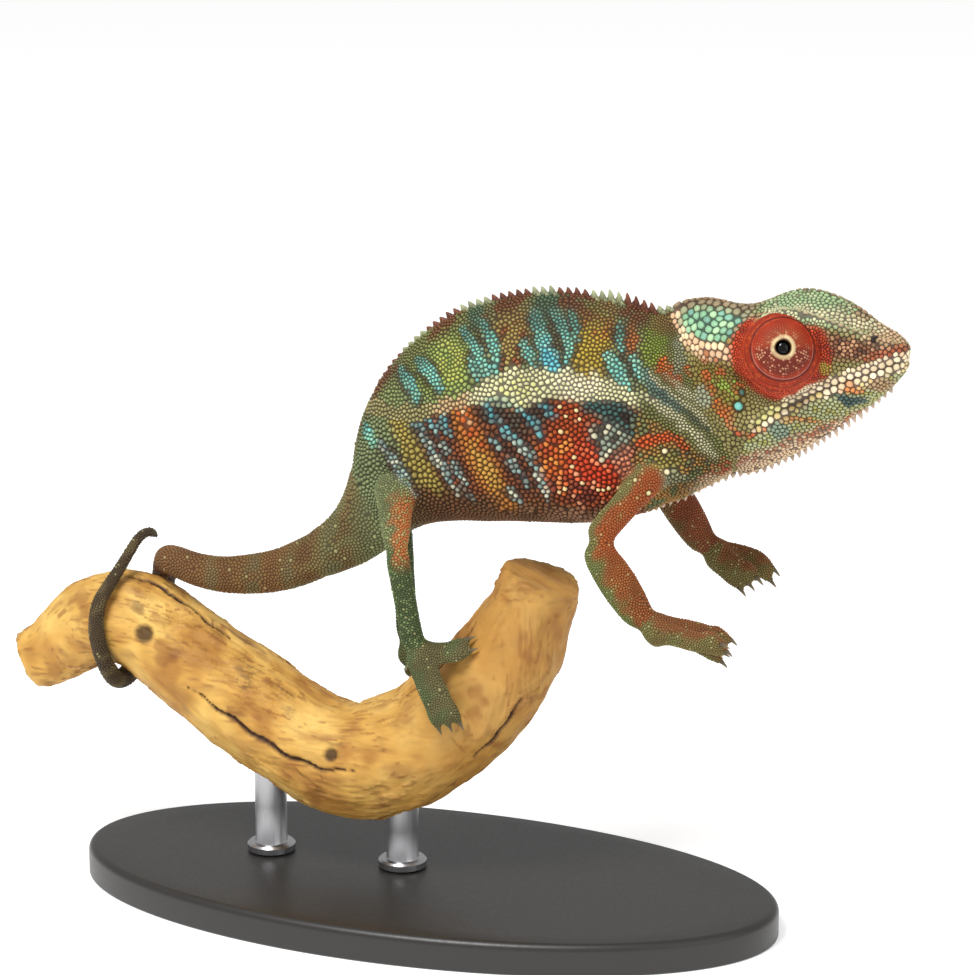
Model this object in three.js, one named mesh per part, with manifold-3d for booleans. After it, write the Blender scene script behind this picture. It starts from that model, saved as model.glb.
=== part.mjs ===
// A young male panther chameleon, life size, gripping a short driftwood perch on a plain display stand.
// Millimetres, +Z up. +X is the way the animal faces, -Y its right side. The origin is the centre of the
// whole model's underside. Lengths below are laid out round a point in mid-trunk and moved at the end.
import * as THREE from 'three';
import { mergeVertices } from 'three/addons/utils/BufferGeometryUtils.js';
import Module from 'manifold-3d';

const wasm = await Module();
wasm.setup();

// ---------------------------------------------------------------- driving sizes
const GAP = 0.3; // clearance between neighbouring pieces
const RING = 16; // corners round the trunk
const HEAD_RING = 14;
const TAIL_RING = 9;
const LIMB_RING = 8;
const TOE_RING = 5;
const TIDY = 0.1; // how far flesh and wood may move when their smallest faces are merged
const TRUE = 0.001; // the same for turned and flat pieces
const BASE_SIZE = { length: 112, width: 56, thick: 5 };
const BASE_TOP_Z = -62;
const BASE_CENTRE_X = -10;
const ROD_PLACES = [-36, -14]; // along X
const ROD_RADIUS = 2.5;
const ROD_INSET = 6; // how far each rod stands in the perch

const SIDES = { right: -1, left: 1 };

// ---------------------------------------------------------------- colours
const COLOURS = {
  hide: { color: 0x7d8b55, roughness: 0.6 },
  head: { color: 0x9db093, roughness: 0.55 },
  turret: { color: 0xa8432c, roughness: 0.5 },
  eye: { color: 0x0a0808, roughness: 0.05 },
  limb: { color: 0x6f7d4b, roughness: 0.6 },
  tail: { color: 0x7c765a, roughness: 0.6 },
  claw: { color: 0x8d8266, roughness: 0.35 },
  wood: { color: 0xb8843f, roughness: 0.8 },
  base: { color: 0x2b2724, roughness: 0.4 },
  rod: { color: 0x9a9a9c, roughness: 0.3, metalness: 1 },
};

// ---------------------------------------------------------------- small maths
const v = (x, y, z) => new THREE.Vector3(x, y, z);
const rad = THREE.MathUtils.degToRad;
const mix = THREE.MathUtils.lerp;

// Uniform Catmull-Rom through a list of rows of like-named numbers, at t from 0 to 1.
function rowAt(rows, t) {
  const place = t * (rows.length - 1);
  const i = Math.min(Math.floor(place), rows.length - 2);
  const f = place - i;
  const near = (k) => rows[Math.min(Math.max(k, 0), rows.length - 1)];
  const made = {};
  for (const key of Object.keys(rows[0])) {
    const [a, b, c, d] = [near(i - 1)[key], near(i)[key], near(i + 1)[key], near(i + 2)[key]];
    const curve = (2 * a - 5 * b + 4 * c - d) * f * f + (3 * b - a - 3 * c + d) * f ** 3;
    made[key] = 0.5 * (2 * b + (c - a) * f + curve);
  }
  return made;
}

// ---------------------------------------------------------------- solids
function solidOf(geometry) {
  const bare = geometry.clone();
  bare.deleteAttribute('normal');
  bare.deleteAttribute('uv');
  const merged = mergeVertices(bare, 1e-4);
  return new wasm.Manifold(new wasm.Mesh({
    numProp: 3,
    vertProperties: new Float32Array(merged.attributes.position.array),
    triVerts: new Uint32Array(merged.index.array),
  }));
}

function geometryOf(solid) {
  const mesh = solid.getMesh();
  const places = new Float32Array(mesh.numVert * 3);
  for (let i = 0; i < mesh.numVert; i++) {
    places.set(mesh.vertProperties.subarray(i * mesh.numProp, i * mesh.numProp + 3), i * 3);
  }
  return new THREE.BufferGeometry()
    .setAttribute('position', new THREE.BufferAttribute(places, 3))
    .setIndex(new THREE.BufferAttribute(mesh.triVerts, 1));
}

// A closed skin over a row of rings with equal corner counts, with a fan at each end.
function loft(rings) {
  const count = rings[0].length;
  const corners = rings.flat();
  const first = corners.length;
  const middle = (ring) => ring.reduce((sum, p) => sum.add(p), v(0, 0, 0)).divideScalar(count);
  corners.push(middle(rings[0]), middle(rings.at(-1)));
  const faces = [];
  for (let r = 0; r + 1 < rings.length; r++) {
    for (let i = 0; i < count; i++) {
      const [a, b] = [r * count + i, r * count + ((i + 1) % count)];
      faces.push(a, b, b + count, a, b + count, a + count);
    }
  }
  const last = (rings.length - 1) * count;
  for (let i = 0; i < count; i++) {
    const next = (i + 1) % count;
    faces.push(first, next, i, first + 1, last + i, last + next);
  }
  const build = (index) => new THREE.BufferGeometry().setFromPoints(corners).setIndex(index);
  const made = solidOf(build(faces));
  return made.volume() > 0 ? made : solidOf(build([...faces].reverse()));
}

// Rings of an oval tube at places along a curve. size(t) gives { wide, tall }.
function tubeRings(curve, places, corners, size) {
  const frames = curve.computeFrenetFrames(200, false);
  return places.map((t) => {
    const across = frames.normals[Math.round(t * 200)].clone();
    const ahead = curve.getTangentAt(t);
    across.addScaledVector(ahead, -across.dot(ahead)).normalize();
    const above = v(0, 0, 0).crossVectors(ahead, across);
    const { wide, tall } = size(t);
    return Array.from({ length: corners }, (_, i) => {
      const a = (2 * Math.PI * i) / corners;
      return curve.getPointAt(t)
        .addScaledVector(across, wide * Math.sin(a))
        .addScaledVector(above, tall * Math.cos(a));
    });
  });
}

const evenly = (steps, from = 0, to = 1) => (
  Array.from({ length: steps + 1 }, (_, i) => mix(from, to, i / steps))
);

// A tube through a few points, domed at its far end and blunt at its root, which its neighbour covers.
// radii are spread evenly along it.
function limb(points, radii, corners, grow = 0, steps = 4) {
  const curve = new THREE.CatmullRomCurve3(points, false, 'centripetal');
  const rows = radii.map((r) => ({ r }));
  const length = curve.getLength();
  const [start, stop] = [(0.6 * radii[0]) / length, 1 - (0.8 * radii.at(-1)) / length];
  const size = (t) => {
    const dome = t > stop ? Math.sqrt(Math.max(1 - ((t - stop) / (1 - stop)) ** 2, 0.12)) : 1;
    const r = (rowAt(rows, t).r + grow) * dome * (t < start ? 0.65 : 1);
    return { wide: r, tall: r };
  };
  const inner = steps ? evenly(steps, start, stop) : [stop];
  const places = [0, ...inner, mix(stop, 1, 0.7), 1];
  return loft(tubeRings(curve, places, corners, size));
}

function ball(centre, radius, detail = 5) {
  const shape = new THREE.SphereGeometry(radius, detail * 2, detail);
  shape.translate(centre.x, centre.y, centre.z);
  return solidOf(shape);
}

// A thin saw of spines standing on a line in the plane of symmetry. Each root is { at, out, length }.
function saw(roots, thick = 0.8, sunk = 1.2) {
  const flat = (p) => new THREE.Vector2(p.x, p.z);
  const lifted = ({ at, out }, by) => flat(at.clone().addScaledVector(out, by));
  const teeth = roots.slice(0, -1).flatMap((root, i) => {
    const foot = lifted(root, 0.12);
    const next = lifted(roots[i + 1], 0.12);
    const tip = foot.clone().lerp(next, 0.62).add(flat(root.out).multiplyScalar(root.length));
    return [foot, tip];
  });
  const under = roots.filter((_, i) => i % 3 === 0 || i === roots.length - 1).reverse();
  const outline = [...teeth, lifted(roots.at(-1), 0.12), ...under.map((root) => lifted(root, -sunk))];
  const blade = new THREE.ExtrudeGeometry(new THREE.Shape(outline), { depth: thick, bevelEnabled: false });
  blade.translate(0, 0, -thick / 2);
  blade.rotateX(Math.PI / 2);
  return solidOf(blade);
}

// Places along a line, spacing apart, as roots for a saw. at(t) gives { at, out } and length(share) a height.
function rooted(from, to, spacing, at, length) {
  const roots = [];
  for (let t = from; t < to; t += 0.0005) {
    const place = at(t);
    if (roots.length && place.at.distanceTo(roots.at(-1).at) < spacing) continue;
    roots.push({ ...place, length: length((t - from) / (to - from)) });
  }
  return roots;
}

const joined = (solids) => wasm.Manifold.union(solids);
const largest = (solid) => solid.decompose().sort((a, b) => b.volume() - a.volume())[0];

// A thin wall swept across the body along a line drawn in side view, used to part one piece from the next.
function cut(line, thick = GAP, reach = 40) {
  const walls = [];
  for (let i = 0; i + 1 < line.length; i++) {
    const [a, b] = [v(line[i][0], 0, line[i][1]), v(line[i + 1][0], 0, line[i + 1][1])];
    const box = new THREE.BoxGeometry(a.distanceTo(b) + thick, reach, thick);
    box.rotateY(-Math.atan2(b.z - a.z, b.x - a.x));
    box.translate((a.x + b.x) / 2, 0, (a.z + b.z) / 2);
    walls.push(solidOf(box));
  }
  return joined(walls);
}

// ---------------------------------------------------------------- trunk, neck and the root of the tail
// Sections across the spine, from inside the head back to the tail: centre, backward lean of the section
// in degrees, half height and half width.
const BODY = [
  { x: 38.5, z: 16.4, lean: 20, tall: 10.2, wide: 4.9 },
  { x: 35.2, z: 16.3, lean: 16, tall: 11.4, wide: 5.3 },
  { x: 31.6, z: 15.6, lean: 10, tall: 13.1, wide: 5.8 },
  { x: 25.3, z: 14.4, lean: 4, tall: 15.7, wide: 6.5 },
  { x: 17.5, z: 13.5, lean: 0, tall: 17.4, wide: 7.2 },
  { x: 9.5, z: 13.2, lean: 0, tall: 17.8, wide: 7.6 },
  { x: 2.8, z: 12.3, lean: 5, tall: 17.3, wide: 7.4 },
  { x: -2.7, z: 10.5, lean: 12, tall: 16.2, wide: 7.0 },
  { x: -7.4, z: 8.1, lean: 20, tall: 14.4, wide: 6.4 },
  { x: -11.6, z: 5.0, lean: 27, tall: 12.3, wide: 5.8 },
  { x: -14.9, z: 1.2, lean: 35, tall: 9.6, wide: 5.2 },
  { x: -17.6, z: -3.1, lean: 34, tall: 7.2, wide: 4.5 },
  { x: -20.1, z: -7.4, lean: 34, tall: 5.6, wide: 3.9 },
  { x: -23.4, z: -10.7, lean: 31, tall: 4.5, wide: 3.6 },
  { x: -27.9, z: -13.4, lean: 26, tall: 3.8, wide: 3.3 },
];
const EGG = 0.22; // how much fuller the lower flank is than the upper

function bodyRing(t, grow = 0) {
  const row = rowAt(BODY, t);
  const lean = rad(row.lean);
  const up = v(-Math.sin(lean), 0, Math.cos(lean));
  const egg = EGG * THREE.MathUtils.smoothstep(row.tall, 5, 12);
  return Array.from({ length: RING }, (_, i) => {
    const a = (2 * Math.PI * i) / RING;
    const side = Math.sin(a) * (1 - egg * Math.cos(a));
    return v(row.x, 0, row.z)
      .addScaledVector(up, (row.tall + grow) * Math.cos(a))
      .add(v(0, (row.wide + grow) * side, 0));
  });
}

function bodyLength(from, to, grow = 0) {
  const steps = Math.round((to - from) * 20);
  return loft(Array.from({ length: steps + 1 }, (_, i) => bodyRing(mix(from, to, i / steps), grow)));
}

const BODY_CUTS = { front: 0, shoulder: 0.2, tail: 0.79, end: 1 };
const CUT_SHARE = 0.004; // a cut's width as a share of the body's rows

// The mid-line of the back (side 1) or the belly (side -1).
const midline = (side) => (t) => {
  const row = rowAt(BODY, t);
  const up = v(-Math.sin(rad(row.lean)), 0, Math.cos(rad(row.lean)));
  return {
    at: v(row.x, 0, row.z).addScaledVector(up, side * row.tall),
    out: up.multiplyScalar(side),
  };
};

const BACK_SPACING = 1.6;
const BEARD_SPACING = 1.35;
const backSpines = (from, to, a, b) => (
  saw(rooted(from, to, BACK_SPACING, midline(1), (f) => mix(a, b, f)))
);
const bellySpines = (from, to, a, b) => (
  saw(rooted(from, to, BEARD_SPACING, midline(-1), (f) => mix(a, b, f)))
);

// ---------------------------------------------------------------- perch
// Axis and radius of the driftwood from its left cut end, over the hump that the tail grips, down to the
// low elbow and up the rising limb to its right cut end.
const PERCH = [
  { x: -76.5, z: -34.9, r: 5.0 },
  { x: -72.0, z: -32.6, r: 5.6 },
  { x: -67.3, z: -29.0, r: 6.9 },
  { x: -62.0, z: -26.6, r: 7.5 },
  { x: -56.5, z: -27.7, r: 7.7 },
  { x: -50.8, z: -31.4, r: 8.1 },
  { x: -42.8, z: -36.2, r: 8.4 },
  { x: -35.4, z: -40.8, r: 8.7 },
  { x: -28.6, z: -44.2, r: 9.0 },
  { x: -21.6, z: -45.6, r: 9.3 },
  { x: -14.8, z: -43.6, r: 9.3 },
  { x: -8.6, z: -39.6, r: 9.2 },
  { x: -3.0, z: -34.6, r: 9.0 },
  { x: 2.2, z: -27.8, r: 8.3 },
  { x: 6.2, z: -20.2, r: 7.2 },
  { x: 8.9, z: -12.8, r: 6.1 },
];
const PERCH_RING = 12;
const PERCH_STEPS = 19;

const perchCurve = new THREE.CatmullRomCurve3(PERCH.map((p) => v(p.x, 0, p.z)), false, 'centripetal');

function perchFrame(s) {
  const t = s / (PERCH.length - 1);
  const ahead = perchCurve.getTangent(t);
  const up = v(-ahead.z, 0, ahead.x);
  return { centre: perchCurve.getPoint(t), ahead, up, r: rowAt(PERCH, t).r };
}

// A point over the perch: s counts its rows, angle runs from its top (0) to the right side (90).
function onPerch(s, angle, lift) {
  const { centre, up, r } = perchFrame(s);
  return centre.clone()
    .addScaledVector(up, (r + lift) * Math.cos(rad(angle)))
    .add(v(0, -(r + lift) * Math.sin(rad(angle)), 0));
}

// Weathered wood: shallow flutes run along the grain, and the limb swells and thins.
function perchSurface(t, a) {
  const flutes = 0.03 * Math.sin(3 * a + 9 * t) + 0.02 * Math.sin(7 * a - 15 * t);
  const swell = 0.025 * Math.sin(31 * t + 1.3 * Math.sin(a));
  return 1 + flutes + swell;
}

function perchSolid() {
  const rings = Array.from({ length: PERCH_STEPS + 1 }, (_, k) => {
    const t = k / PERCH_STEPS;
    const { centre, up, r } = perchFrame(t * (PERCH.length - 1));
    return Array.from({ length: PERCH_RING }, (_, i) => {
      const a = (2 * Math.PI * i) / PERCH_RING;
      const reach = r * perchSurface(t, a);
      return centre.clone().addScaledVector(up, reach * Math.cos(a)).add(v(0, -reach * Math.sin(a), 0));
    });
  });
  return loft(rings);
}

// ---------------------------------------------------------------- tail
// Past its root the tail sweeps back over the perch, goes down behind it, comes up on the near side and
// ends lying across itself.
const TAIL_SWEEP = [
  v(-28.1, 0, -13.5),
  v(-33.0, 0.2, -15.9),
  v(-38.3, 0.2, -17.3),
  v(-43.5, 0, -17.9),
  v(-48.2, 0.1, -17.5),
  v(-52.4, 1.2, -16.8),
];
// The coil: turn in degrees from the perch's top, minus to the left side, with the place along the perch's
// rows, the tail's radius and how far it stands off the wood.
const COIL = [
  { turn: -27, s: 3.72, r: 2.4, off: 0.5 },
  { turn: -58, s: 3.58, r: 2.2, off: 0.3 },
  { turn: -90, s: 3.5, r: 2.05, off: 0.2 },
  { turn: -125, s: 3.58, r: 1.9, off: 0.2 },
  { turn: -160, s: 3.75, r: 1.75, off: 0.2 },
  { turn: -190, s: 3.85, r: 1.6, off: 0.2 },
  { turn: -215, s: 3.78, r: 1.5, off: 0.2 },
  { turn: -242, s: 3.46, r: 1.42, off: 0.2 },
  { turn: -270, s: 3.18, r: 1.35, off: 0.2 },
  { turn: -300, s: 3.16, r: 1.22, off: 0.2 },
  { turn: -325, s: 3.26, r: 1.1, off: 0.5 },
  { turn: -345, s: 3.34, r: 1.0, off: 2.4 },
  { turn: -362, s: 3.38, r: 0.92, off: 5.0 },
  { turn: -377, s: 3.4, r: 0.84, off: 5.6 },
  { turn: -392, s: 3.42, r: 0.72, off: 5.2 },
];
const TAIL_RADII = [3.8, 3.6, 3.35, 3.05, 2.8, 2.6, ...COIL.map((c) => c.r)];
const TAIL_CUTS = [0, 0.17, 0.34, 0.54, 0.74, 1];

const tailCurve = new THREE.CatmullRomCurve3(
  [...TAIL_SWEEP, ...COIL.map((c) => onPerch(c.s, c.turn, c.r + c.off))],
  false,
  'centripetal',
);

// Radius by arc length: each given radius sits at its own point's share of the length.
const tailShares = (() => {
  const marks = TAIL_RADII.map((_, i) => i / (TAIL_RADII.length - 1));
  const lengths = tailCurve.getLengths(400);
  return marks.map((m) => lengths[Math.round(m * 400)] / lengths[400]);
})();

function tailRadius(u) {
  const i = Math.max(1, tailShares.findIndex((share) => share >= u));
  const [a, b] = [tailShares[i - 1], tailShares[i]];
  return mix(TAIL_RADII[i - 1], TAIL_RADII[i], (u - a) / (b - a));
}

function tailLength(index, grow = 0) {
  const length = tailCurve.getLength();
  const from = TAIL_CUTS[index] + (GAP * 0.5) / length;
  const to = TAIL_CUTS[index + 1] - (index < TAIL_CUTS.length - 2 ? (GAP * 0.5) / length : 0);
  const size = (u) => {
    const blunt = u > 0.985 ? Math.sqrt(Math.max(1 - ((u - 0.985) / 0.0155) ** 2, 0.02)) : 1;
    const r = tailRadius(u) * blunt + grow;
    return { wide: r * mix(0.86, 1, Math.min(u * 2.5, 1)), tall: r };
  };
  const steps = Math.round((to - from) * length * 0.4);
  return loft(tubeRings(tailCurve, evenly(steps, from, to), TAIL_RING, size));
}

// ---------------------------------------------------------------- head
// Sections at right angles to X, from the casque's tip to the lips. Each names its underside, lower jaw,
// jaw side, socket or cheek, crest and crown: w is a half width and z a height.
const HEAD = [
  [28.4, 29.4, 0.3, 29.5, 0.5, 29.7, 0.6, 29.9, 0.5, 30.2, 30.6],
  [31.0, 25.8, 1.6, 26.1, 2.6, 26.8, 3.0, 27.5, 3.0, 28.6, 31.6],
  [34.4, 12.4, 2.8, 13.6, 4.9, 18.5, 4.7, 23.6, 5.3, 27.0, 32.3],
  [38.2, 5.1, 3.0, 6.5, 6.1, 14.4, 5.5, 21.6, 6.4, 25.9, 32.2],
  [41.4, 5.5, 3.2, 6.9, 6.7, 14.0, 5.7, 21.5, 5.9, 27.2, 31.7],
  [44.3, 6.9, 3.2, 8.3, 6.6, 15.4, 4.6, 22.0, 4.9, 30.8, 31.6],
  [48.0, 9.0, 3.0, 10.5, 6.1, 18.0, 4.1, 23.4, 5.1, 33.8, 32.0],
  [52.2, 12.1, 2.8, 13.5, 5.4, 20.3, 4.1, 25.0, 5.0, 33.3, 31.2],
  [56.2, 15.4, 2.5, 16.7, 4.7, 21.9, 4.0, 25.6, 4.3, 31.5, 29.8],
  [60.0, 18.5, 2.1, 19.5, 3.8, 23.4, 3.2, 26.0, 3.3, 29.7, 28.6],
  [63.0, 21.4, 1.5, 22.1, 2.7, 24.6, 2.0, 26.5, 2.2, 28.8, 28.1],
  [64.8, 24.0, 0.8, 24.4, 1.3, 25.4, 0.9, 26.4, 0.7, 27.3, 27.3],
].map(([x, base, wl, zl, wj, zj, ws, zs, wc, zc, crown]) => (
  { x, base, wl, zl, wj, zj, ws, zs, wc, zc, crown }
));
const HEAD_STEPS = 16;
const HEAD_ROLL = 12; // degrees the crown leans to the animal's right
const ROLL_HEIGHT = 20; // the height the roll turns about

function rolled(point, x) {
  const share = THREE.MathUtils.smoothstep(x, 30, 42);
  const a = rad(HEAD_ROLL * share);
  const rise = point.z - ROLL_HEIGHT;
  return v(
    point.x,
    point.y * Math.cos(a) - rise * Math.sin(a),
    ROLL_HEIGHT + point.y * Math.sin(a) + rise * Math.cos(a),
  );
}

function headRing(t, grow = 0) {
  const row = rowAt(HEAD, t);
  const right = [
    [row.wl, row.zl], [row.wj, row.zj], [row.ws, row.zs], [row.wc, row.zc],
  ];
  const line = [
    v(row.x, 0, row.base),
    ...right.map(([w, z]) => v(row.x, -w, z)),
    v(row.x, 0, row.crown),
    ...[...right].reverse().map(([w, z]) => v(row.x, w, z)),
  ];
  const middle = v(row.x, 0, (row.base + row.crown) / 2);
  const grown = line.map((p) => p.clone().add(p.clone().sub(middle).setLength(grow || 1e-9)));
  const curve = new THREE.CatmullRomCurve3(grown, true, 'centripetal');
  return Array.from({ length: HEAD_RING }, (_, i) => rolled(curve.getPoint(i / HEAD_RING), row.x));
}

// The lower mid-line of the jaw and throat.
const chin = (t) => {
  const [row, next] = [rowAt(HEAD, t), rowAt(HEAD, t + 0.004)];
  const out = v(next.base - row.base, 0, row.x - next.x).normalize();
  return { at: rolled(v(row.x, 0, row.base), row.x), out };
};

const headSolid = (grow = 0) => loft(
  Array.from({ length: HEAD_STEPS + 1 }, (_, i) => headRing(i / HEAD_STEPS, grow)),
);

// The gape, from the corner of the mouth to the lips, and the jaw's rear edge below the corner.
const MOUTH = [
  [66.5, 26.4], [63.6, 25.2], [59.6, 23.5], [53.9, 21.2], [49.8, 19.0], [45.5, 16.4], [42.0, 13.4],
];
const JAW_REAR = [[42.0, 13.4], [39.4, 8.5], [37.6, 3.0]];
const CASQUE_LINE = [[43.2, 35.0], [41.9, 29.0], [39.6, 25.2], [35.0, 24.8], [31.0, 26.6], [27.0, 29.2]];

// ---------------------------------------------------------------- eyes
// Each turret is a dome of fused lids with a round opening; the eyeball shows only through that.
const TURRET_RADIUS = 5.9;
const OPENING_RADIUS = 1.35;
const EYEBALL_RADIUS = 2.6;
const EYEBALL_DEPTH = TURRET_RADIUS - EYEBALL_RADIUS - 0.45; // from the turret's centre along the gaze
const EYES = {
  right: { centre: v(47.0, -6.1, 25.4), gaze: v(0.3, -0.88, 0.36).normalize() },
  left: { centre: v(47.3, 5.2, 26.1), gaze: v(0.34, 0.93, 0.12).normalize() },
};

// Profiles run along the gaze from behind the turret: [radius, place].
const turretProfile = (grow) => [
  [0, -5.5 - grow], [6.4 + grow, -5.5 - grow], [6.9 + grow, -3.2],
  ...[0.06, 0.28, 0.5, 0.72].map((share) => {
    const a = (share * Math.PI) / 2;
    return [(TURRET_RADIUS + grow) * Math.cos(a), (TURRET_RADIUS + grow) * Math.sin(a)];
  }),
  [OPENING_RADIUS, TURRET_RADIUS - 0.1 + grow],
];
const HOLLOW = [
  [OPENING_RADIUS - 0.05, TURRET_RADIUS - 0.6],
  ...[0.3, -0.15, -0.6].map((share) => {
    const a = (share * Math.PI) / 2;
    const r = EYEBALL_RADIUS + GAP;
    return [r * Math.cos(a) * 1.01, EYEBALL_DEPTH + r * Math.sin(a) * 1.01];
  }),
  [0, EYEBALL_DEPTH - EYEBALL_RADIUS - GAP * 1.05],
];

function turned(profile, { centre, gaze }) {
  const shape = new THREE.LatheGeometry(profile.map(([r, h]) => new THREE.Vector2(r, h)), 16);
  shape.applyQuaternion(new THREE.Quaternion().setFromUnitVectors(v(0, 1, 0), gaze));
  shape.translate(centre.x, centre.y, centre.z);
  return solidOf(shape);
}

const turretBlank = (eye, grow = 0) => turned([...turretProfile(grow), [0, TURRET_RADIUS - 0.1 + grow]], eye);
const turretSolid = (eye) => turned([...turretProfile(0), ...HOLLOW], eye);

function eyeballSolid({ centre, gaze }) {
  return ball(centre.clone().addScaledVector(gaze, EYEBALL_DEPTH), EYEBALL_RADIUS);
}

// ---------------------------------------------------------------- limbs
// Joint places of the four limbs, with radii along each part.
const ARM_RADII = { upper: [2.9, 2.5, 2.3, 2.35], lower: [2.45, 3.0, 2.9, 2.2] };
const LEG_RADII = { upper: [3.6, 3.0, 2.4, 2.1], lower: [2.1, 1.95, 1.9, 2.1] };

const LIMBS = {
  arm_right: {
    names: ['upper_arm_right', 'forearm_right', 'hand_right'],
    radii: ARM_RADII,
    root: v(28.4, -4.4, 7.0),
    joint: v(20.5, -11.7, -3.5),
    end: v(28.7, -11.2, -15.6),
    bundles: [
      {
        toes: 2, middle: v(35.6, -13.0, -16.4), tip: v(40.3, -13.2, -16.9),
        side: v(0.1, -0.5, 0.85), hook: v(0.2, 0.4, -0.9),
      },
      {
        toes: 3, middle: v(35.2, -9.6, -16.6), tip: v(39.6, -9.2, -18.2),
        side: v(0.2, 0.6, 0.75), hook: v(0.2, -0.3, -0.9),
      },
    ],
  },
  arm_left: {
    names: ['upper_arm_left', 'forearm_left', 'hand_left'],
    radii: ARM_RADII,
    root: v(28.4, 4.4, 7.0),
    joint: v(22.3, 11.4, 3.2),
    end: v(30.4, 14.0, -10.6),
    bundles: [
      {
        toes: 2, middle: v(35.8, 16.2, -11.3), tip: v(39.2, 16.4, -13.6),
        side: v(0.1, 0.45, 0.7), hook: v(0.3, -0.2, -0.9),
      },
      {
        toes: 3, middle: v(34.6, 12.6, -12.6), tip: v(37.0, 11.8, -14.0),
        side: v(0.75, -0.2, 0.55), hook: v(0.2, 0.3, -0.9),
      },
    ],
  },
  leg_right: {
    names: ['thigh_right', 'shin_right', 'foot_right'],
    radii: LEG_RADII,
    root: v(-13.6, -3.4, 0.6),
    joint: v(-8.9, -15.0, -6.7),
    end: v(-8.2, -9.8, -23.2),
    bundles: [
      {
        toes: 3, middle: v(-4.9, -10.9, -28.9), tip: v(-2.6, -10.8, -33.6),
        side: v(0.95, 0, 0.3), hook: v(0, 0.7, -0.7),
      },
      {
        toes: 2, middle: v(-4.1, -8.2, -24.2), tip: v(-1.1, -7.6, -22.9),
        side: v(-0.4, 0.45, 0.8), hook: v(0.5, 0.8, 0),
      },
    ],
  },
  leg_left: {
    names: ['thigh_left', 'shin_left', 'foot_left'],
    radii: LEG_RADII,
    root: v(-12.0, 3.4, 0.4),
    joint: v(-18.6, 11.8, -10.6),
    end: v(-16.6, 9.6, -28.6),
    bundles: [
      {
        toes: 3, middle: onPerch(10.85, -64, 1.6), tip: onPerch(10.95, -92, 1.2),
        side: v(0.9, 0, 0.42), hook: v(0, -0.7, -0.7),
      },
      {
        toes: 2, middle: onPerch(11.05, -35, 1.8), tip: onPerch(11.35, -14, 1.25),
        side: v(0.8, 0, 0.6), hook: v(0.2, -0.9, 0),
      },
    ],
  },
};
const BUNDLE = { wide: 0.78, tall: 1.3, ring: 6 }; // half width for each toe, and half thickness
const TOE = { radii: [1.1, 1.05, 0.8], apart: 1.75 };
const PALM_RADII = [2.3, 2.55, 2.2];
const CLAW = { length: 1.35, radius: 0.46, bend: 0.5 };

const upperPart = (l, grow = 0) => limb(
  [l.root, l.root.clone().lerp(l.joint, 0.5), l.joint], l.radii.upper, LIMB_RING, grow, 2,
);
const lowerPart = (l, grow = 0) => limb(
  [l.joint, l.joint.clone().lerp(l.end, 0.5), l.end], l.radii.lower, LIMB_RING, grow, 3,
);

// The toes of a bundle are fused to beyond its middle and part only near their tips.
function toePath(bundle, i) {
  const across = bundle.side.clone().normalize().multiplyScalar(i - (bundle.toes - 1) / 2);
  const root = bundle.middle.clone().lerp(bundle.tip, 0.15).addScaledVector(across, TOE.apart * 0.85);
  return [root, bundle.tip.clone().addScaledVector(across, TOE.apart)];
}

function bundleSolid(l, bundle, grow) {
  const curve = new THREE.CatmullRomCurve3([
    l.end,
    l.end.clone().lerp(bundle.middle, 0.6),
    bundle.middle,
    bundle.middle.clone().lerp(bundle.tip, 0.55),
  ]);
  const side = bundle.side.clone().normalize();
  const rings = [0.15, 0.5, 0.85, 1].map((t) => {
    const ahead = curve.getTangentAt(t);
    const across = side.clone().addScaledVector(ahead, -side.dot(ahead)).normalize();
    const above = v(0, 0, 0).crossVectors(ahead, across);
    const blunt = t === 1 ? 0.7 : 1;
    const wide = (BUNDLE.wide * bundle.toes * mix(0.8, 1, t) + 0.3 + grow) * blunt;
    return Array.from({ length: BUNDLE.ring }, (_, i) => {
      const a = (2 * Math.PI * i) / BUNDLE.ring;
      return curve.getPointAt(t)
        .addScaledVector(across, wide * Math.sin(a))
        .addScaledVector(above, (BUNDLE.tall + grow) * blunt * Math.cos(a));
    });
  });
  return loft(rings);
}

function palm(l, grow) {
  const front = l.bundles[0].middle.clone().lerp(l.bundles[1].middle, 0.5);
  return limb([l.end, l.end.clone().lerp(front, 0.65)], PALM_RADII, BUNDLE.ring, grow, 1);
}

function footSolid(l, grow = 0) {
  const toes = l.bundles.flatMap((b) => (
    Array.from({ length: b.toes }, (_, i) => limb(toePath(b, i), TOE.radii, TOE_RING, grow, 0))
  ));
  return joined([palm(l, grow), ...l.bundles.map((b) => bundleSolid(l, b, grow)), ...toes]);
}

// A claw leaves its toe's tip with a small gap and hooks the way the toe grips.
function clawSolid(bundle, i, grow = 0) {
  const [root, tip] = toePath(bundle, i);
  const ahead = tip.clone().sub(root).normalize();
  const start = tip.clone().addScaledVector(ahead, GAP);
  const hook = bundle.hook.clone().normalize();
  const points = [0, 0.5, 1].map((f) => start.clone()
    .addScaledVector(ahead, CLAW.length * f)
    .addScaledVector(hook, CLAW.length * CLAW.bend * f * f));
  const curve = new THREE.CatmullRomCurve3(points);
  const size = (t) => {
    const r = mix(CLAW.radius, 0.1, t) + grow;
    return { wide: r, tall: r };
  };
  return loft(tubeRings(curve, evenly(3), 5, size));
}

// ---------------------------------------------------------------- stand
function baseSolid() {
  const shape = new THREE.Shape();
  shape.absellipse(0, 0, BASE_SIZE.length / 2 - 1, BASE_SIZE.width / 2 - 1, 0, 2 * Math.PI);
  const plate = new THREE.ExtrudeGeometry(shape, {
    depth: BASE_SIZE.thick - 2,
    bevelSize: 1,
    bevelThickness: 1,
    bevelSegments: 1,
    curveSegments: 12,
  });
  plate.translate(BASE_CENTRE_X, 0, BASE_TOP_Z - BASE_SIZE.thick + 1);
  return solidOf(plate);
}

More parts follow.
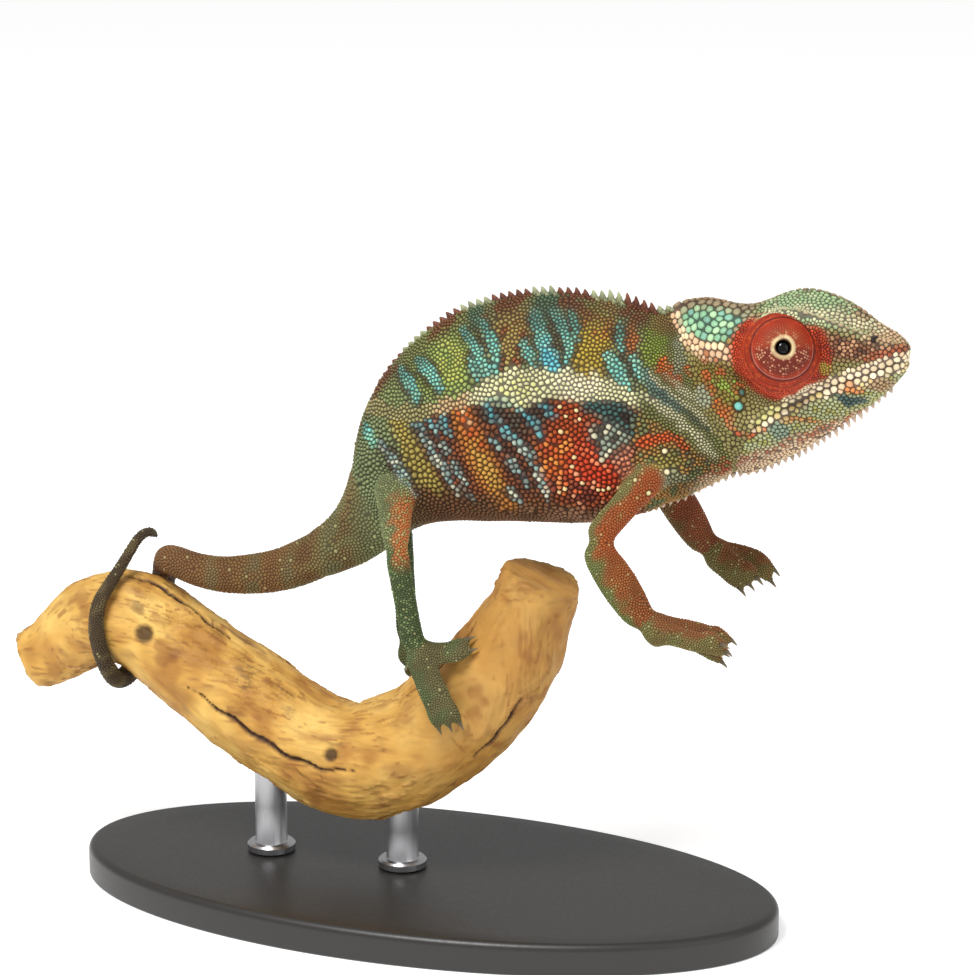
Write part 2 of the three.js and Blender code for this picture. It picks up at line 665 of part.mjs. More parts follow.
function rodSolid(x, grow = 0) {
  const { top } = perchUnder(x);
  const bottom = BASE_TOP_Z - (grow ? 0 : -GAP);
  const rod = new THREE.CylinderGeometry(ROD_RADIUS + grow, ROD_RADIUS + grow, top + grow - bottom, 16);
  rod.rotateX(Math.PI / 2);
  rod.translate(x, 0, (top + grow + bottom) / 2);
  return solidOf(rod);
}

// Where a rod at x ends inside the perch.
function perchUnder(x) {
  const i = PERCH.findIndex((p) => p.x > x);
  const [a, b] = [PERCH[i - 1], PERCH[i]];
  const f = (x - a.x) / (b.x - a.x);
  return { top: mix(a.z, b.z, f) - mix(a.r, b.r, f) + ROD_INSET };
}

// ---------------------------------------------------------------- assembly
const group = new THREE.Group();

function add(name, solid, finish, tidy = TIDY) {
  const material = new THREE.MeshStandardMaterial(COLOURS[finish]);
  const mesh = new THREE.Mesh(geometryOf(largest(solid).simplify(tidy)), material);
  mesh.name = name;
  group.add(mesh);
}

function addHead() {
  const eyes = Object.values(EYES);
  const carved = eyes.reduce((solid, eye) => solid.subtract(turretBlank(eye, GAP)), headSolid());
  const beard = saw(rooted(0.365, 0.93, BEARD_SPACING, chin, (f) => mix(1.2, 0.7, f)));
  const parted = carved.add(beard)
    .subtract(cut(MOUTH)).subtract(cut(JAW_REAR)).subtract(cut(CASQUE_LINE));
  const pieces = parted.decompose().filter((p) => p.volume() > 20);
  const height = (p) => (p.boundingBox().min[2] + p.boundingBox().max[2]) / 2;
  const reach = (p) => p.boundingBox().max[0];
  const casque = pieces.reduce((a, b) => (reach(b) < reach(a) ? b : a));
  const others = pieces.filter((p) => p !== casque).sort((a, b) => height(a) - height(b));
  add('casque', casque, 'head');
  add('jaw', others[0], 'head');
  add('head', others.at(-1), 'head');
  for (const [side, eye] of Object.entries(EYES)) {
    const otherSide = solidOf(new THREE.BoxGeometry(40, 12, 40).translate(47, -SIDES[side] * 5.6 - 2, 26));
    add(`eye_turret_${side}`, turretSolid(eye).subtract(otherSide), 'turret', TRUE);
    add(`eye_${side}`, eyeballSolid(eye).subtract(otherSide), 'eye', TRUE);
  }
}

function addBody() {
  const { front, shoulder, tail, end } = BODY_CUTS;
  const seam = 0.007; // how far a row of spines stops short of a cut
  const neck = joined([
    bodyLength(front, shoulder - CUT_SHARE),
    backSpines(0.165, shoulder - seam, 1.3, 1.5),
    bellySpines(0.07, shoulder - seam, 1.1, 1.15),
  ]);
  const trunk = joined([
    bodyLength(shoulder, tail - CUT_SHARE),
    backSpines(shoulder + seam, 0.45, 1.5, 1.1),
    backSpines(0.45, tail - seam - 0.004, 1.1, 0.6),
    bellySpines(shoulder + seam, 0.29, 1.1, 0.6),
  ]);
  const rump = joined([
    bodyLength(tail, end - CUT_SHARE),
    backSpines(tail + seam, end - seam, 0.6, 0.45),
  ]);
  add('neck', neck.subtract(headSolid(GAP)), 'hide');
  add('trunk', trunk, 'hide');
  add('tail_1', rump, 'tail');
}

function addTail() {
  for (let i = 0; i + 1 < TAIL_CUTS.length; i++) add(`tail_${i + 2}`, tailLength(i), 'tail');
}

function addLimbs() {
  const body = bodyLength(BODY_CUTS.front, BODY_CUTS.end, GAP);
  for (const l of Object.values(LIMBS)) {
    const [upper, lower, foot] = l.names;
    add(upper, upperPart(l).subtract(body), 'limb');
    add(lower, lowerPart(l).subtract(upperPart(l, GAP)), 'limb');
    add(foot, footSolid(l).subtract(lowerPart(l, GAP)), 'limb');
    const flesh = footSolid(l, 0.2);
    l.bundles.forEach((bundle, b) => {
      for (let i = 0; i < bundle.toes; i++) {
        const number = b * l.bundles[0].toes + i + 1;
        add(`claw_${foot}_${number}`, clawSolid(bundle, i).subtract(flesh), 'claw');
      }
    });
  }
}

function addPerchAndStand() {
  const feet = [LIMBS.leg_right, LIMBS.leg_left];
  const claws = feet.flatMap((l) => l.bundles.flatMap((b) => (
    Array.from({ length: b.toes }, (_, i) => clawSolid(b, i, GAP))
  )));
  const hollows = [
    ...TAIL_CUTS.slice(0, -1).map((_, i) => tailLength(i, GAP)),
    ...feet.map((l) => footSolid(l, GAP)),
    ...claws,
    ...ROD_PLACES.map((x) => rodSolid(x, GAP)),
  ];
  add('perch', perchSolid().subtract(joined(hollows)), 'wood');
  add('stand_base', baseSolid(), 'base', TRUE);
  ROD_PLACES.forEach((x, i) => add(`stand_rod_${i + 1}`, rodSolid(x), 'rod', TRUE));
}

addHead();
addBody();
addTail();
addLimbs();
addPerchAndStand();

// The origin goes to the middle of the whole model's underside.
const box = new THREE.Box3().setFromObject(group, true);
const middle = box.getCenter(v(0, 0, 0));
group.position.set(-middle.x, -middle.y, -box.min.z);

export default group;
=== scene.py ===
# %% [markdown]
# # A panther chameleon in scales
#
# This lesson dresses a plain solid model of a young panther chameleon. The solids give every size: one
# skin is drawn over them, thousands of small raised scales grow from that skin, and the eyes, claws, spines,
# driftwood and display stand each get a mesh and a finish of their own.

# %% The frame
import math

import bmesh
import bpy
import numpy as np
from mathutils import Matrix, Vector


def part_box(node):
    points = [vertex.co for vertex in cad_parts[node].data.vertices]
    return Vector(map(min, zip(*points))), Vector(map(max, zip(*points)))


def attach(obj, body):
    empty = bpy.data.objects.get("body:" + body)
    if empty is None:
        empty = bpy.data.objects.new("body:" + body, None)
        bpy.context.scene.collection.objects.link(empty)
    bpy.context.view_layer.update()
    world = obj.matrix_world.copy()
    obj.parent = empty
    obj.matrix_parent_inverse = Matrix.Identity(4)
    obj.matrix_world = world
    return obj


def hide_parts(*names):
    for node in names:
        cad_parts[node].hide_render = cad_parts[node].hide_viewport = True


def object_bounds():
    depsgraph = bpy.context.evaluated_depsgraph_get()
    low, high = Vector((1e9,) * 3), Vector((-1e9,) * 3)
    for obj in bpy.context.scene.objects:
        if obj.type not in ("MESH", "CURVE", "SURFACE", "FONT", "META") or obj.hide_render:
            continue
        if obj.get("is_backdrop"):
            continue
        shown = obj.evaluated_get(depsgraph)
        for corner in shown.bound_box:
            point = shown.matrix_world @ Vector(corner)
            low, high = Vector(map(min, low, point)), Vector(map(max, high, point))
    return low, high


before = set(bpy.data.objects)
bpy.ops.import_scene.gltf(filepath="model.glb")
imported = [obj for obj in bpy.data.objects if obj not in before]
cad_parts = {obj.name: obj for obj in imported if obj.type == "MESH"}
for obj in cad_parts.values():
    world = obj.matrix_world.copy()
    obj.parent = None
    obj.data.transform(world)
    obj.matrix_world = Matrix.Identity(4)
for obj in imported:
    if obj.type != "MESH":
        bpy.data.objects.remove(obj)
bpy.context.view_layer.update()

import openvdb as vdb
from mathutils import Vector
from mathutils.bvhtree import BVHTree
from mathutils.kdtree import KDTree

MM = 0.001  # the shapes below are worked out in millimetres and become metres at the end
print("solids:", len(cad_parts))

# %% [markdown]
# ## One skin from many solids
#
# A real skin has no joints in it, but the solids are parted at the neck, the limbs and the mouth. Joining
# them with booleans would keep every facet and gap. Here each solid is first rounded with a subdivision
# surface, then turned into a field that says how far each point of space is from it. Fields are easy to
# blend: where two of them meet, a soft minimum flows one into the other, as flesh does at a shoulder.

# %% Which solids are flesh
SIDES = ("right", "left")
ARMS = [f"{part}_{side}" for side in SIDES for part in ("upper_arm", "forearm", "hand")]
LEGS = [f"{part}_{side}" for side in SIDES for part in ("thigh", "shin", "foot")]
TAIL = [f"tail_{i}" for i in range(1, 7)]
HEAD = ["head", "jaw", "casque"]
SLENDER = [*ARMS, *LEGS, *TAIL]
SPINED = ["neck", "trunk", "tail_1", "jaw"]  # these carry rows of spines, which are made again later
FLESH = [*HEAD, "neck", "trunk", *TAIL, *ARMS, *LEGS]
VOXEL = 0.38  # mm, the field's spacing
BAND = 6  # voxels of exact distance on each side of a surface
print("flesh solids:", len(FLESH))


# %% Rounding a solid's facets
def coordinates(mesh):
    """A mesh's points in millimetres."""
    found = np.empty(len(mesh.vertices) * 3)
    mesh.vertices.foreach_get("co", found)
    return found.reshape(-1, 3) / MM


def box_of(node):
    """A solid's lowest and highest corner in millimetres."""
    return [np.array(corner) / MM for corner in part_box(node)]


def middle_of(node):
    return sum(box_of(node)) / 2


def corner_lists(mesh):
    """The faces of a mesh whose faces all have four corners."""
    quads = np.empty(len(mesh.loops), np.int64)
    mesh.loops.foreach_get("vertex_index", quads)
    return quads.reshape(-1, 4)


def creased_cage(node, sharp):
    """A copy of a solid's mesh in a new object, with its cut edges marked to stay sharp."""
    made = bmesh.new()
    made.from_mesh(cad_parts[node].data)
    bmesh.ops.remove_doubles(made, verts=made.verts, dist=1e-6)
    flat, square = math.radians(35), math.radians(60)
    bmesh.ops.join_triangles(made, faces=made.faces, angle_face_threshold=flat, angle_shape_threshold=square)
    crease = made.edges.layers.float.new("crease_edge")
    for edge in made.edges:
        edge[crease] = float(edge.calc_face_angle(0) > math.radians(sharp))
    mesh = bpy.data.meshes.new(node + "_cage")
    made.to_mesh(mesh)
    made.free()
    cage = bpy.data.objects.new(node + "_cage", mesh)
    bpy.context.scene.collection.objects.link(cage)
    return cage


PUSHED_OUT = 0.9  # of what the surface lost, each time


def rounded(node, sharp=55, levels=2):
    """A solid with its facets rounded off, through the solid's own corners, as points and faces.

    A subdivision surface runs inside its cage, so the cage is first pushed out by what it lost."""
    cage = creased_cage(node, sharp)
    cage.modifiers.new("round", "SUBSURF").levels = levels
    wanted = coordinates(cage.data)
    for last in (False, False, True):
        smooth = cage.evaluated_get(bpy.context.evaluated_depsgraph_get()).to_mesh()
        points, quads = coordinates(smooth), corner_lists(smooth)
        cage.to_mesh_clear()
        if not last:
            moved = coordinates(cage.data) + PUSHED_OUT * (wanted - points[:len(wanted)])
            cage.data.vertices.foreach_set("co", (moved * MM).ravel())
            cage.data.update()
    mesh = cage.data
    bpy.data.objects.remove(cage)
    bpy.data.meshes.remove(mesh)
    return points, quads


# %% Fields of distance
FAR = BAND * VOXEL


def distance_grid(points, quads):
    return vdb.FloatGrid.createLevelSetFromPolygons(
        points.astype(np.float32),
        quads=quads.astype(np.uint32),
        transform=vdb.createLinearTransform(VOXEL),
        halfWidth=float(BAND),
    )


def boxed(grid, points):
    """A grid's values round a set of points, with the index of the first cell."""
    first = np.floor(points.min(0) / VOXEL).astype(int) - BAND
    last = np.ceil(points.max(0) / VOXEL).astype(int) + BAND
    values = np.empty(tuple(last - first + 1), np.float32)
    grid.copyToArray(values, ijk=tuple(int(i) for i in first))
    return values, first


def grid_of(values, first):
    grid = vdb.FloatGrid(FAR)
    grid.transform = vdb.createLinearTransform(VOXEL)
    grid.copyFromArray(np.ascontiguousarray(values), ijk=tuple(int(i) for i in first))
    return grid


def moved_and_back(grid, offset):
    """A field whose surface went out by offset and came back, which fills narrow gaps. Minus removes fins."""
    points, quads = grid.convertToQuads(isovalue=offset)
    values, first = boxed(distance_grid(points, quads), points)
    return values + offset, first


SPINE_HALF = 0.45  # mm, a little over half a spine row's thickness
GROWN = {"hand": 0.3, "foot": 0.3, "tail_6": 0.2, "tail_5": 0.15, "head": 0.12, "casque": 0.12}  # mm


def node_field(node):
    points, quads = rounded(node)
    grid = distance_grid(points, quads)
    values, first = moved_and_back(grid, -SPINE_HALF) if node in SPINED else boxed(grid, points)
    return values - sum(size for part, size in GROWN.items() if node.startswith(part)), first


fields = {node: node_field(node) for node in FLESH}
print("cells in all fields:", sum(values.size for values, _ in fields.values()))


# %% Blending the fields
LOWEST = np.min([first for _, first in fields.values()], axis=0) - 2
HIGHEST = np.max([first + values.shape for values, first in fields.values()], axis=0) + 2


def over_all(values, first, start=None, width=0.0):
    """Lays values into a field over the whole animal, with a soft minimum of a width in millimetres."""
    whole = np.full(tuple(HIGHEST - LOWEST), FAR, np.float32) if start is None else start
    low = np.maximum(first, LOWEST)
    high = np.minimum(first + values.shape, HIGHEST)
    inner = values[tuple(slice(a, b) for a, b in zip(low - first, high - first))]
    place = tuple(slice(a, b) for a, b in zip(low - LOWEST, high - LOWEST))
    h = np.maximum(width - np.abs(whole[place] - inner), 0)
    whole[place] = np.minimum(whole[place], inner) - (h * h / (4 * width) if width else 0)
    return whole


def closed_group(nodes):
    """Solids that are one length of flesh, with the gaps between them filled."""
    whole = None
    for node in nodes:
        whole = over_all(*fields[node], start=whole)
    return moved_and_back(grid_of(whole, LOWEST), CLOSING)


CLOSING = 0.4  # mm
BLEND = 2.2  # mm over which a limb flows into the body
field = over_all(*closed_group([*HEAD, "neck", "trunk", *TAIL]))
for limb in (ARMS[:3], ARMS[3:], LEGS[:3], LEGS[3:]):
    field = over_all(*closed_group(limb), start=field, width=BLEND)
print("blended field:", field.shape)


# %% Shapes made of balls
def ball_field(balls, squash=(1, 1, 1), lean=0.0):
    """The field of balls joined together: (centre, radius) of each. squash narrows them along an axis."""
    low = np.min([c - r / np.array(squash) for c, r in balls], axis=0) - FAR
    high = np.max([c + r / np.array(squash) for c, r in balls], axis=0) + FAR
    first = np.floor(low / VOXEL).astype(int)
    count = np.ceil(high / VOXEL).astype(int) - first
    places = (np.stack(np.meshgrid(*[np.arange(n) for n in count], indexing="ij"), -1) + first) * VOXEL
    found = np.full(count, FAR)
    for centre, radius in balls:
        away = places - centre
        away[..., 2] -= lean * away[..., 1]
        found = np.minimum(found, (np.linalg.norm(away * squash, axis=-1) - radius) / max(squash))
    return np.clip(found, -FAR, FAR).astype(np.float32), first, places


def with_balls(start, balls, width=0.0, **shape):
    return over_all(*ball_field(balls, **shape)[:2], start=start, width=width)


# %% The line of the mouth
jaw_top = BVHTree.FromPolygons(*[part.tolist() for part in rounded("jaw")])
jaw_low, jaw_high = box_of("jaw")


def mouth_height(x):
    """The height of the jaw's upper edge at x."""
    place = jaw_top.ray_cast(Vector((x, 0, jaw_high[2] + 5)), Vector((0, 0, -1)))[0]
    return place.z if place else jaw_high[2]


MOUTH_STATIONS = np.linspace(jaw_low[0] + 4.5, jaw_high[0] - 1.5, 24)  # from its corner to the snout's tip
mouth_heights = np.array([mouth_height(x) for x in MOUTH_STATIONS])
print("the jaw's upper edge rises", round(float(np.ptp(mouth_heights)), 1), "mm from corner to tip")


# %% The turrets and their lids
OFF_THE_EYE = 3.05  # mm from the eyeball's middle to the turret's outer surface, at least


def turret_shape(side):
    """The centre, radius and gaze of an eye turret, from a sphere through its outer corners."""
    ball = middle_of(f"eye_{side}")
    corners = coordinates(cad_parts[f"eye_turret_{side}"].data)
    outer = (np.abs(corners[:, 1]) > abs(ball[1])) & (np.linalg.norm(corners - ball, axis=1) > OFF_THE_EYE)
    corners = corners[outer]
    rows = np.hstack([2 * corners, np.ones((len(corners), 1))])
    found = np.linalg.lstsq(rows, (corners**2).sum(1), rcond=None)[0]
    centre = found[:3]
    gaze = (ball - centre) / np.linalg.norm(ball - centre)
    return {"centre": centre, "radius": math.sqrt(found[3] + centre @ centre), "gaze": gaze, "ball": ball}


def lid_field(eye):
    """Flesh behind and round a turret: its ball, cut off flat on the side it looks to, and a smaller ball
    that fills the socket under the turret's skin."""
    values, first, places = ball_field([(eye["centre"], eye["radius"] + LID)])
    deep = (places - eye["centre"]) @ eye["gaze"]
    lid = np.maximum(values, deep - eye["radius"] * math.cos(math.radians(LID_ANGLE)))
    fill = np.maximum(values + LID + UNDER_TURRET, deep - eye["radius"] * math.cos(math.radians(FILL_ANGLE)))
    return np.clip(np.minimum(lid, fill), -FAR, FAR).astype(np.float32), first


LID = 0.15  # mm the lid stands over the turret
UNDER_TURRET = 0.35  # mm between the turret's surface and the flesh under it
LID_ANGLE, FILL_ANGLE = 74, 48  # degrees from the gaze to the edges of the lid and of the flesh under it
EYE_RISE = 0.4  # mm the lids lift the turrets in their sockets
EYES = {side: turret_shape(side) for side in SIDES}
for eye in EYES.values():
    eye["centre"][2] += EYE_RISE
    eye["ball"][2] += EYE_RISE
between_eyes = (EYES["right"]["centre"] + EYES["left"]["centre"]) / 2
print("from eye to eye:", round(float(np.ptp([eye["centre"][1] for eye in EYES.values()])), 1), "mm")

# %% The brow
BROW_HIGH, BROW_LONG, BROW_WIDE = 6.4, 10.5, 5.0  # mm from the brow's middle to its ends
brow = between_eyes + [2.2, 0, 0]
brow[2] = box_of("head")[1][2] - 0.8 - BROW_HIGH
squash = (BROW_HIGH / BROW_LONG, BROW_HIGH / BROW_WIDE, 1.0)
field = with_balls(field, [(brow, BROW_HIGH)], 1.2, squash=squash, lean=0.18)
print("the brow's top is", round(float(brow[2]) + BROW_HIGH, 1), "mm up")

# %% Flesh round the turrets
TEMPLE = [  # flesh round a turret: (from its middle, share of the way in to the head's middle, radius)
    ((-3.6, 0.2, -0.4), 0.36, 4.4), ((-7.0, 0.0, -0.6), 0.5, 4.3), ((-0.6, 0.0, -3.4), 0.36, 3.8),
    ((3.4, 0.0, -1.6), 0.46, 3.4), ((-6.5, 0.0, -5.0), 0.5, 2.7), ((-4.0, 0.0, -6.0), 0.5, 2.7),
    ((-2.0, 0.0, -7.2), 0.5, 2.6),
]
LIP_BALLS = ((2.95, 1.9), (1.3, 2.4))  # (out from the head's middle, radius)
LIP_RISE = 1.55  # mm over the line of the mouth
LIP_LENGTH = np.arange(-4, 7)  # mm forward of the turret's middle


def lip_flesh(eye):
    """Flesh from an eye turret down to the mouth, so that the lip runs on below it."""
    out = np.sign((eye["centre"] - between_eyes)[1])
    return [
        (np.array([x, between_eyes[1] + out * away, mouth_height(x) + LIP_RISE]), radius)
        for x in eye["centre"][0] + LIP_LENGTH for away, radius in LIP_BALLS
    ]


for side, eye in EYES.items():
    inward = between_eyes - eye["centre"]
    flesh = [(eye["centre"] + shift + inward * share, radius) for shift, share, radius in TEMPLE]
    field = with_balls(with_balls(field, flesh, 1.6), lip_flesh(eye), 0.8)
    field = over_all(*lid_field(eye), start=field, width=1.7)
    print(side, "turret radius", round(eye["radius"], 2), "gaze", np.round(eye["gaze"], 2))


# %% Toe tips
TOE_BALLS = [  # (mm past the claw's root, radius)
    (1.0, 0.62), (0.55, 0.82), (0.1, 0.98), (-0.5, 1.1), (-1.2, 1.2), (-1.9, 1.25),
]
ROOT_DEPTH = 0.35  # mm of a claw that count as its root


def from_limb(claw, shape):
    """How far points of a claw are from the middle of the hand or foot it grows on."""
    return np.linalg.norm(shape - middle_of(claw.replace("claw_", "").rsplit("_", 1)[0]), axis=1)


def toe_tip(claw):
    """A rounded tip of flesh that holds the root of a claw."""
    shape = coordinates(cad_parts[claw].data)
    away = from_limb(claw, shape)
    root = shape[away < away.min() + ROOT_DEPTH].mean(0)
    way = (shape[away.argmax()] - root) / np.linalg.norm(shape[away.argmax()] - root)
    return [(root + way * along, radius) for along, radius in TOE_BALLS]


TOE_TIPS = {node: toe_tip(node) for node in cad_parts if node.startswith("claw_")}
for tip in TOE_TIPS.values():
    field = with_balls(field, tip, 0.35)
print("toe tips:", len(TOE_TIPS))


# %% Softening the field
def blurred(values, reach):
    """A Gaussian blur by reach cells along each axis."""
    span = int(math.ceil(reach * 2.5))
    weights = np.exp(-0.5 * (np.arange(-span, span + 1) / reach) ** 2)
    weights /= weights.sum()
    for axis in range(3):
        rows = np.moveaxis(values, axis, 0)
        padded = np.concatenate([rows[:1]] * span + [rows] + [rows[-1:]] * span)
        total = sum(w * padded[i:i + len(rows)] for i, w in enumerate(weights))
        values = np.moveaxis(total.astype(np.float32), 0, axis)
    return values


SOFT, CRISP = 1.1, 0.55  # cells of blur: most of the body, and the parts below
fine = None
for node in [*HEAD, *(n for n in ARMS + LEGS if n.startswith(("hand", "foot"))), *TAIL[4:]]:
    fine = over_all(*fields[node], start=fine)
for tip in TOE_TIPS.values():
    fine = with_balls(fine, tip)
share = np.clip((2.0 - fine) / 1.4, 0, 1)  # of the crisp field, all of it within 0.6 mm of a fine part
field = blurred(field, SOFT) * (1 - share) + blurred(field, CRISP) * share
print("crisp part of the field:", round(float(share.mean() * 100), 1), "percent")


# %% Normals and neighbours
def face_normals(points, quads):
    a, b, c, d = (points[quads[:, i]] for i in range(4))
    return np.cross(c - a, d - b)


def spread_to_points(values, quads, count):
    """Sums a value of each face at the face's corners."""
    columns = [np.bincount(quads.ravel(), np.repeat(column, 4), count) for column in values.T]
    return np.stack(columns, 1)


def unit(vectors):
    return vectors / np.maximum(np.linalg.norm(vectors, axis=-1, keepdims=True), 1e-9)


def point_normals(points, quads):
    return unit(spread_to_points(face_normals(points, quads), quads, len(points)))


def averaged(values, quads, share=1.0, rounds=1):
    """Each point's value moved towards the mean of the faces round it, by a share of the way."""
    times = np.bincount(quads.ravel(), minlength=len(values))[:, None]
    for _ in range(rounds):
        near = spread_to_points(values[quads].mean(1), quads, len(values)) / times
        values = values + (near - values) * share
    return values


# %% The skin's mesh
def largest_shell(points, quads):
    """Only the faces of the biggest connected piece."""
    label = np.arange(len(points))
    while True:
        lowest = label[quads].min(1)
        new = label.copy()
        np.minimum.at(new, quads.ravel(), np.repeat(lowest, 4))
        new = new[new]
        if (new == label).all():
            break
        label = new
    keep = label == np.bincount(label).argmax()
    index = np.cumsum(keep) - 1
    return points[keep], index[quads[keep[quads[:, 0]]]]


def surface_of(values, first, depth):
    """The surface a depth under a field's own, as points and faces that look outward."""
    points, quads = grid_of(values, first).convertToQuads(isovalue=-depth)
    points, quads = largest_shell(points.astype(float), quads.astype(np.int64))
    inward = (point_normals(points, quads) * (points - points.mean(0))).sum() < 0
    return points, quads[:, ::-1].copy() if inward else quads


SKIN_DEPTH = 0.25  # mm the skin lies under the solids, as deep as most scales stand up
skin_points, skin_quads = surface_of(field, LOWEST, SKIN_DEPTH)
print("skin:", len(skin_points), "points,", len(skin_quads), "faces")


# %% Which solid each point of the skin belongs to
def sampled(values, first, points):
    """A field's value at points, by linear mixing of the eight cells round each."""
    place = points / VOXEL - first
    cell = np.floor(place).astype(int)
    inside = ((cell >= 0) & (cell < np.array(values.shape) - 1)).all(1)
    cell = np.where(inside[:, None], cell, 0)
    f = place - cell
    total = np.zeros(len(points))
    for corner in np.ndindex(2, 2, 2):
        weight = np.prod([f[:, a] if corner[a] else 1 - f[:, a] for a in range(3)], axis=0)
        total += weight * values[tuple((cell + corner).T)]
    return np.where(inside, total, FAR)


LABEL = {node: i for i, node in enumerate(FLESH)}


def labels_at(points):
    return np.array([sampled(*fields[node], points) for node in FLESH]).argmin(0)


def labelled(labels, nodes):
    return np.isin(labels, [LABEL[node] for node in nodes])


skin_label = labels_at(skin_points)
print("points on the head:", int(labelled(skin_label, ["head"]).sum()))

# %% [markdown]
# ## Folds and the mouth
#
# Loose skin gathers in folds where it bends: behind the jaw, round the shoulder and at the groin. A sculptor
# would draw them with a crease brush. Here a few lines are drawn in side view, each point of the skin near a
# line sinks in, and its neighbours swell a little. Places are given from the middle of the trunk, forwards
# and upwards, so they follow the solids.


# %% Places on the animal
HEART = middle_of("trunk")


def side_view(points):
    """How far forward of the trunk's middle each point is, and how far above it."""
    return points[:, 0] - HEART[0], points[:, 2] - HEART[2]


def ramp(x, start, stop):
    """From 0 at start to 1 at stop, smoothly."""
    t = np.clip((x - start) / (stop - start), 0, 1)
    return t * t * (3 - 2 * t)


def line_distance(x, z, line):
    """The distance from each place in side view to a line through a few places, and how far along it is."""
    nearest = np.full(len(x), 1e9)
    along = np.zeros(len(x))
    for i, ((ax, az), (bx, bz)) in enumerate(zip(line, line[1:])):
        dx, dz = bx - ax, bz - az
        t = np.clip(((x - ax) * dx + (z - az) * dz) / (dx * dx + dz * dz), 0, 1)
        gap = np.hypot(x - ax - t * dx, z - az - t * dz)
        along = np.where(gap < nearest, (i + t) / (len(line) - 1), along)
        nearest = np.minimum(gap, nearest)
    return nearest, along


MOUTH = list(zip(MOUTH_STATIONS - HEART[0], mouth_heights - HEART[2]))
print("mouth from", np.round(MOUTH[0], 1), "to", np.round(MOUTH[-1], 1))

# %% Folding the skin
FOLDS = [  # (line in side view, depth, half width)
    ([(23.5, 12.5), (26.5, 8.5), (30.5, 4.0), (34.5, 0.0)], 0.42, 0.6),
    ([(26.0, 12.0), (29.5, 7.0), (33.5, 2.6), (37.0, -0.5)], 0.3, 0.5),
    ([(24.5, 3.0), (28.0, 0.5), (31.0, -3.0), (33.0, -6.0)], 0.3, 0.5),
    ([(22.0, -1.0), (22.3, -3.5), (23.6, -6.0), (26.0, -7.6)], 0.4, 0.55),
    ([(36.5, 1.2), (38.5, -2.5), (42.0, -3.0)], 0.25, 0.45),
    ([(-18.5, -8.0), (-16.0, -10.5), (-12.5, -12.5)], 0.3, 0.6),
]
MOUTH_DEPTH, MOUTH_HALF = 0.4, 0.32  # mm, how deep the line of the mouth is cut, and half its width
loose_skin = labelled(skin_label, ["neck", "trunk", "casque"])[:, None]
skin_points = averaged(skin_points, skin_quads, np.where(loose_skin, 0.6, 0.15), rounds=24)
skin_normals = point_normals(skin_points, skin_quads)
x, z = side_view(skin_points)
push = np.zeros(len(x))
core = labelled(skin_label, ["neck", "trunk", *HEAD])
for line, depth, half in FOLDS:
    gap, along = line_distance(x, z, line)
    ends = ramp(along, 0, 0.15) * ramp(along, 1, 0.85)
    groove = np.exp(-((gap / half) ** 2)) - 0.45 * np.exp(-(((gap - 2.2 * half) / half) ** 2))
    push -= depth * groove * ends * core
gap, _ = line_distance(x, z, MOUTH)
push -= MOUTH_DEPTH * np.exp(-((gap / MOUTH_HALF) ** 2)) * labelled(skin_label, ["head", "jaw"])
skin_points = skin_points + skin_normals * push[:, None]
skin_normals = point_normals(skin_points, skin_quads)
print("deepest fold:", round(float(push.min()), 2), "mm")

# %% [markdown]
# ## A map of the skin
#
# Each scale will take its colour from one small spot of a flat map, so the map has to be the skin's own
# shape opened out. The smart projection cuts the skin where it turns sharply and lays the pieces side by
# side without overlap.


# %% Mesh objects and the map
def mesh_object(name, points, faces, smooth=True):
    """An object from points in millimetres and faces that all have as many corners."""
    faces = np.asarray(faces)
    mesh = bpy.data.meshes.new(name)
    mesh.vertices.add(len(points))
    mesh.vertices.foreach_set("co", (np.asarray(points, float) * MM).ravel())
    mesh.loops.add(faces.size)
    mesh.loops.foreach_set("vertex_index", faces.ravel())
    mesh.polygons.add(len(faces))
    mesh.polygons.foreach_set("loop_start", np.arange(len(faces)) * faces.shape[1])
    mesh.update(calc_edges=True)
    mesh.polygons.foreach_set("use_smooth", np.full(len(faces), smooth))
    made = bpy.data.objects.new(name, mesh)
    bpy.context.scene.collection.objects.link(made)
    return made


skin = mesh_object("skin", skin_points, skin_quads)
skin.data.uv_layers.new(name="OFBake")
bpy.context.view_layer.objects.active = skin
skin.select_set(True)
bpy.ops.object.mode_set(mode="EDIT")
bpy.ops.mesh.select_all(action="SELECT")
bpy.ops.uv.smart_project(angle_limit=math.radians(66), island_margin=0.001)
bpy.ops.object.mode_set(mode="OBJECT")
skin.select_set(False)
corner_places = np.empty(len(skin_quads) * 8)
skin.data.uv_layers["OFBake"].uv.foreach_get("vector", corner_places)
skin_map = corner_places.reshape(-1, 4, 2)
print("map from", skin_map.min().round(3), "to", skin_map.max().round(3))

# %% [markdown]
# ## Where the scales grow
#
# A panther chameleon's scales don't overlap. They are separate beads and plates: fine on the limbs and
# tail, coarser on the flanks, and large flat tiles on the casque. Growing them takes three steps: a wanted
# spacing for every point of the skin, that many roots scattered at random, and a few rounds in which
# neighbours push each other apart until they sit as evenly as real ones.


# %% The room round an eye turret
def round_turret(points):
    """How far each point is from the nearer eye's axis, in turret radii, and whether its ball hides it."""
    across = np.full(len(points), 9.0)
    hidden = np.zeros(len(points), bool)
    for eye in EYES.values():
        away = points - eye["centre"]
        deep = away @ eye["gaze"]
        side = np.linalg.norm(away - deep[:, None] * eye["gaze"], axis=1)
        beside = (deep > -6.5) & (points[:, 1] * eye["gaze"][1] > 2.2)
        across = np.where(beside, np.minimum(across, side / eye["radius"]), across)
        far = np.hypot(deep, side)
        angle = np.degrees(np.arctan2(side, deep))
        hidden |= (far < eye["radius"] - 0.12 - 0.3 * ramp(angle, 60, 76)) & (angle < LID_ANGLE + 3)
    return across, hidden


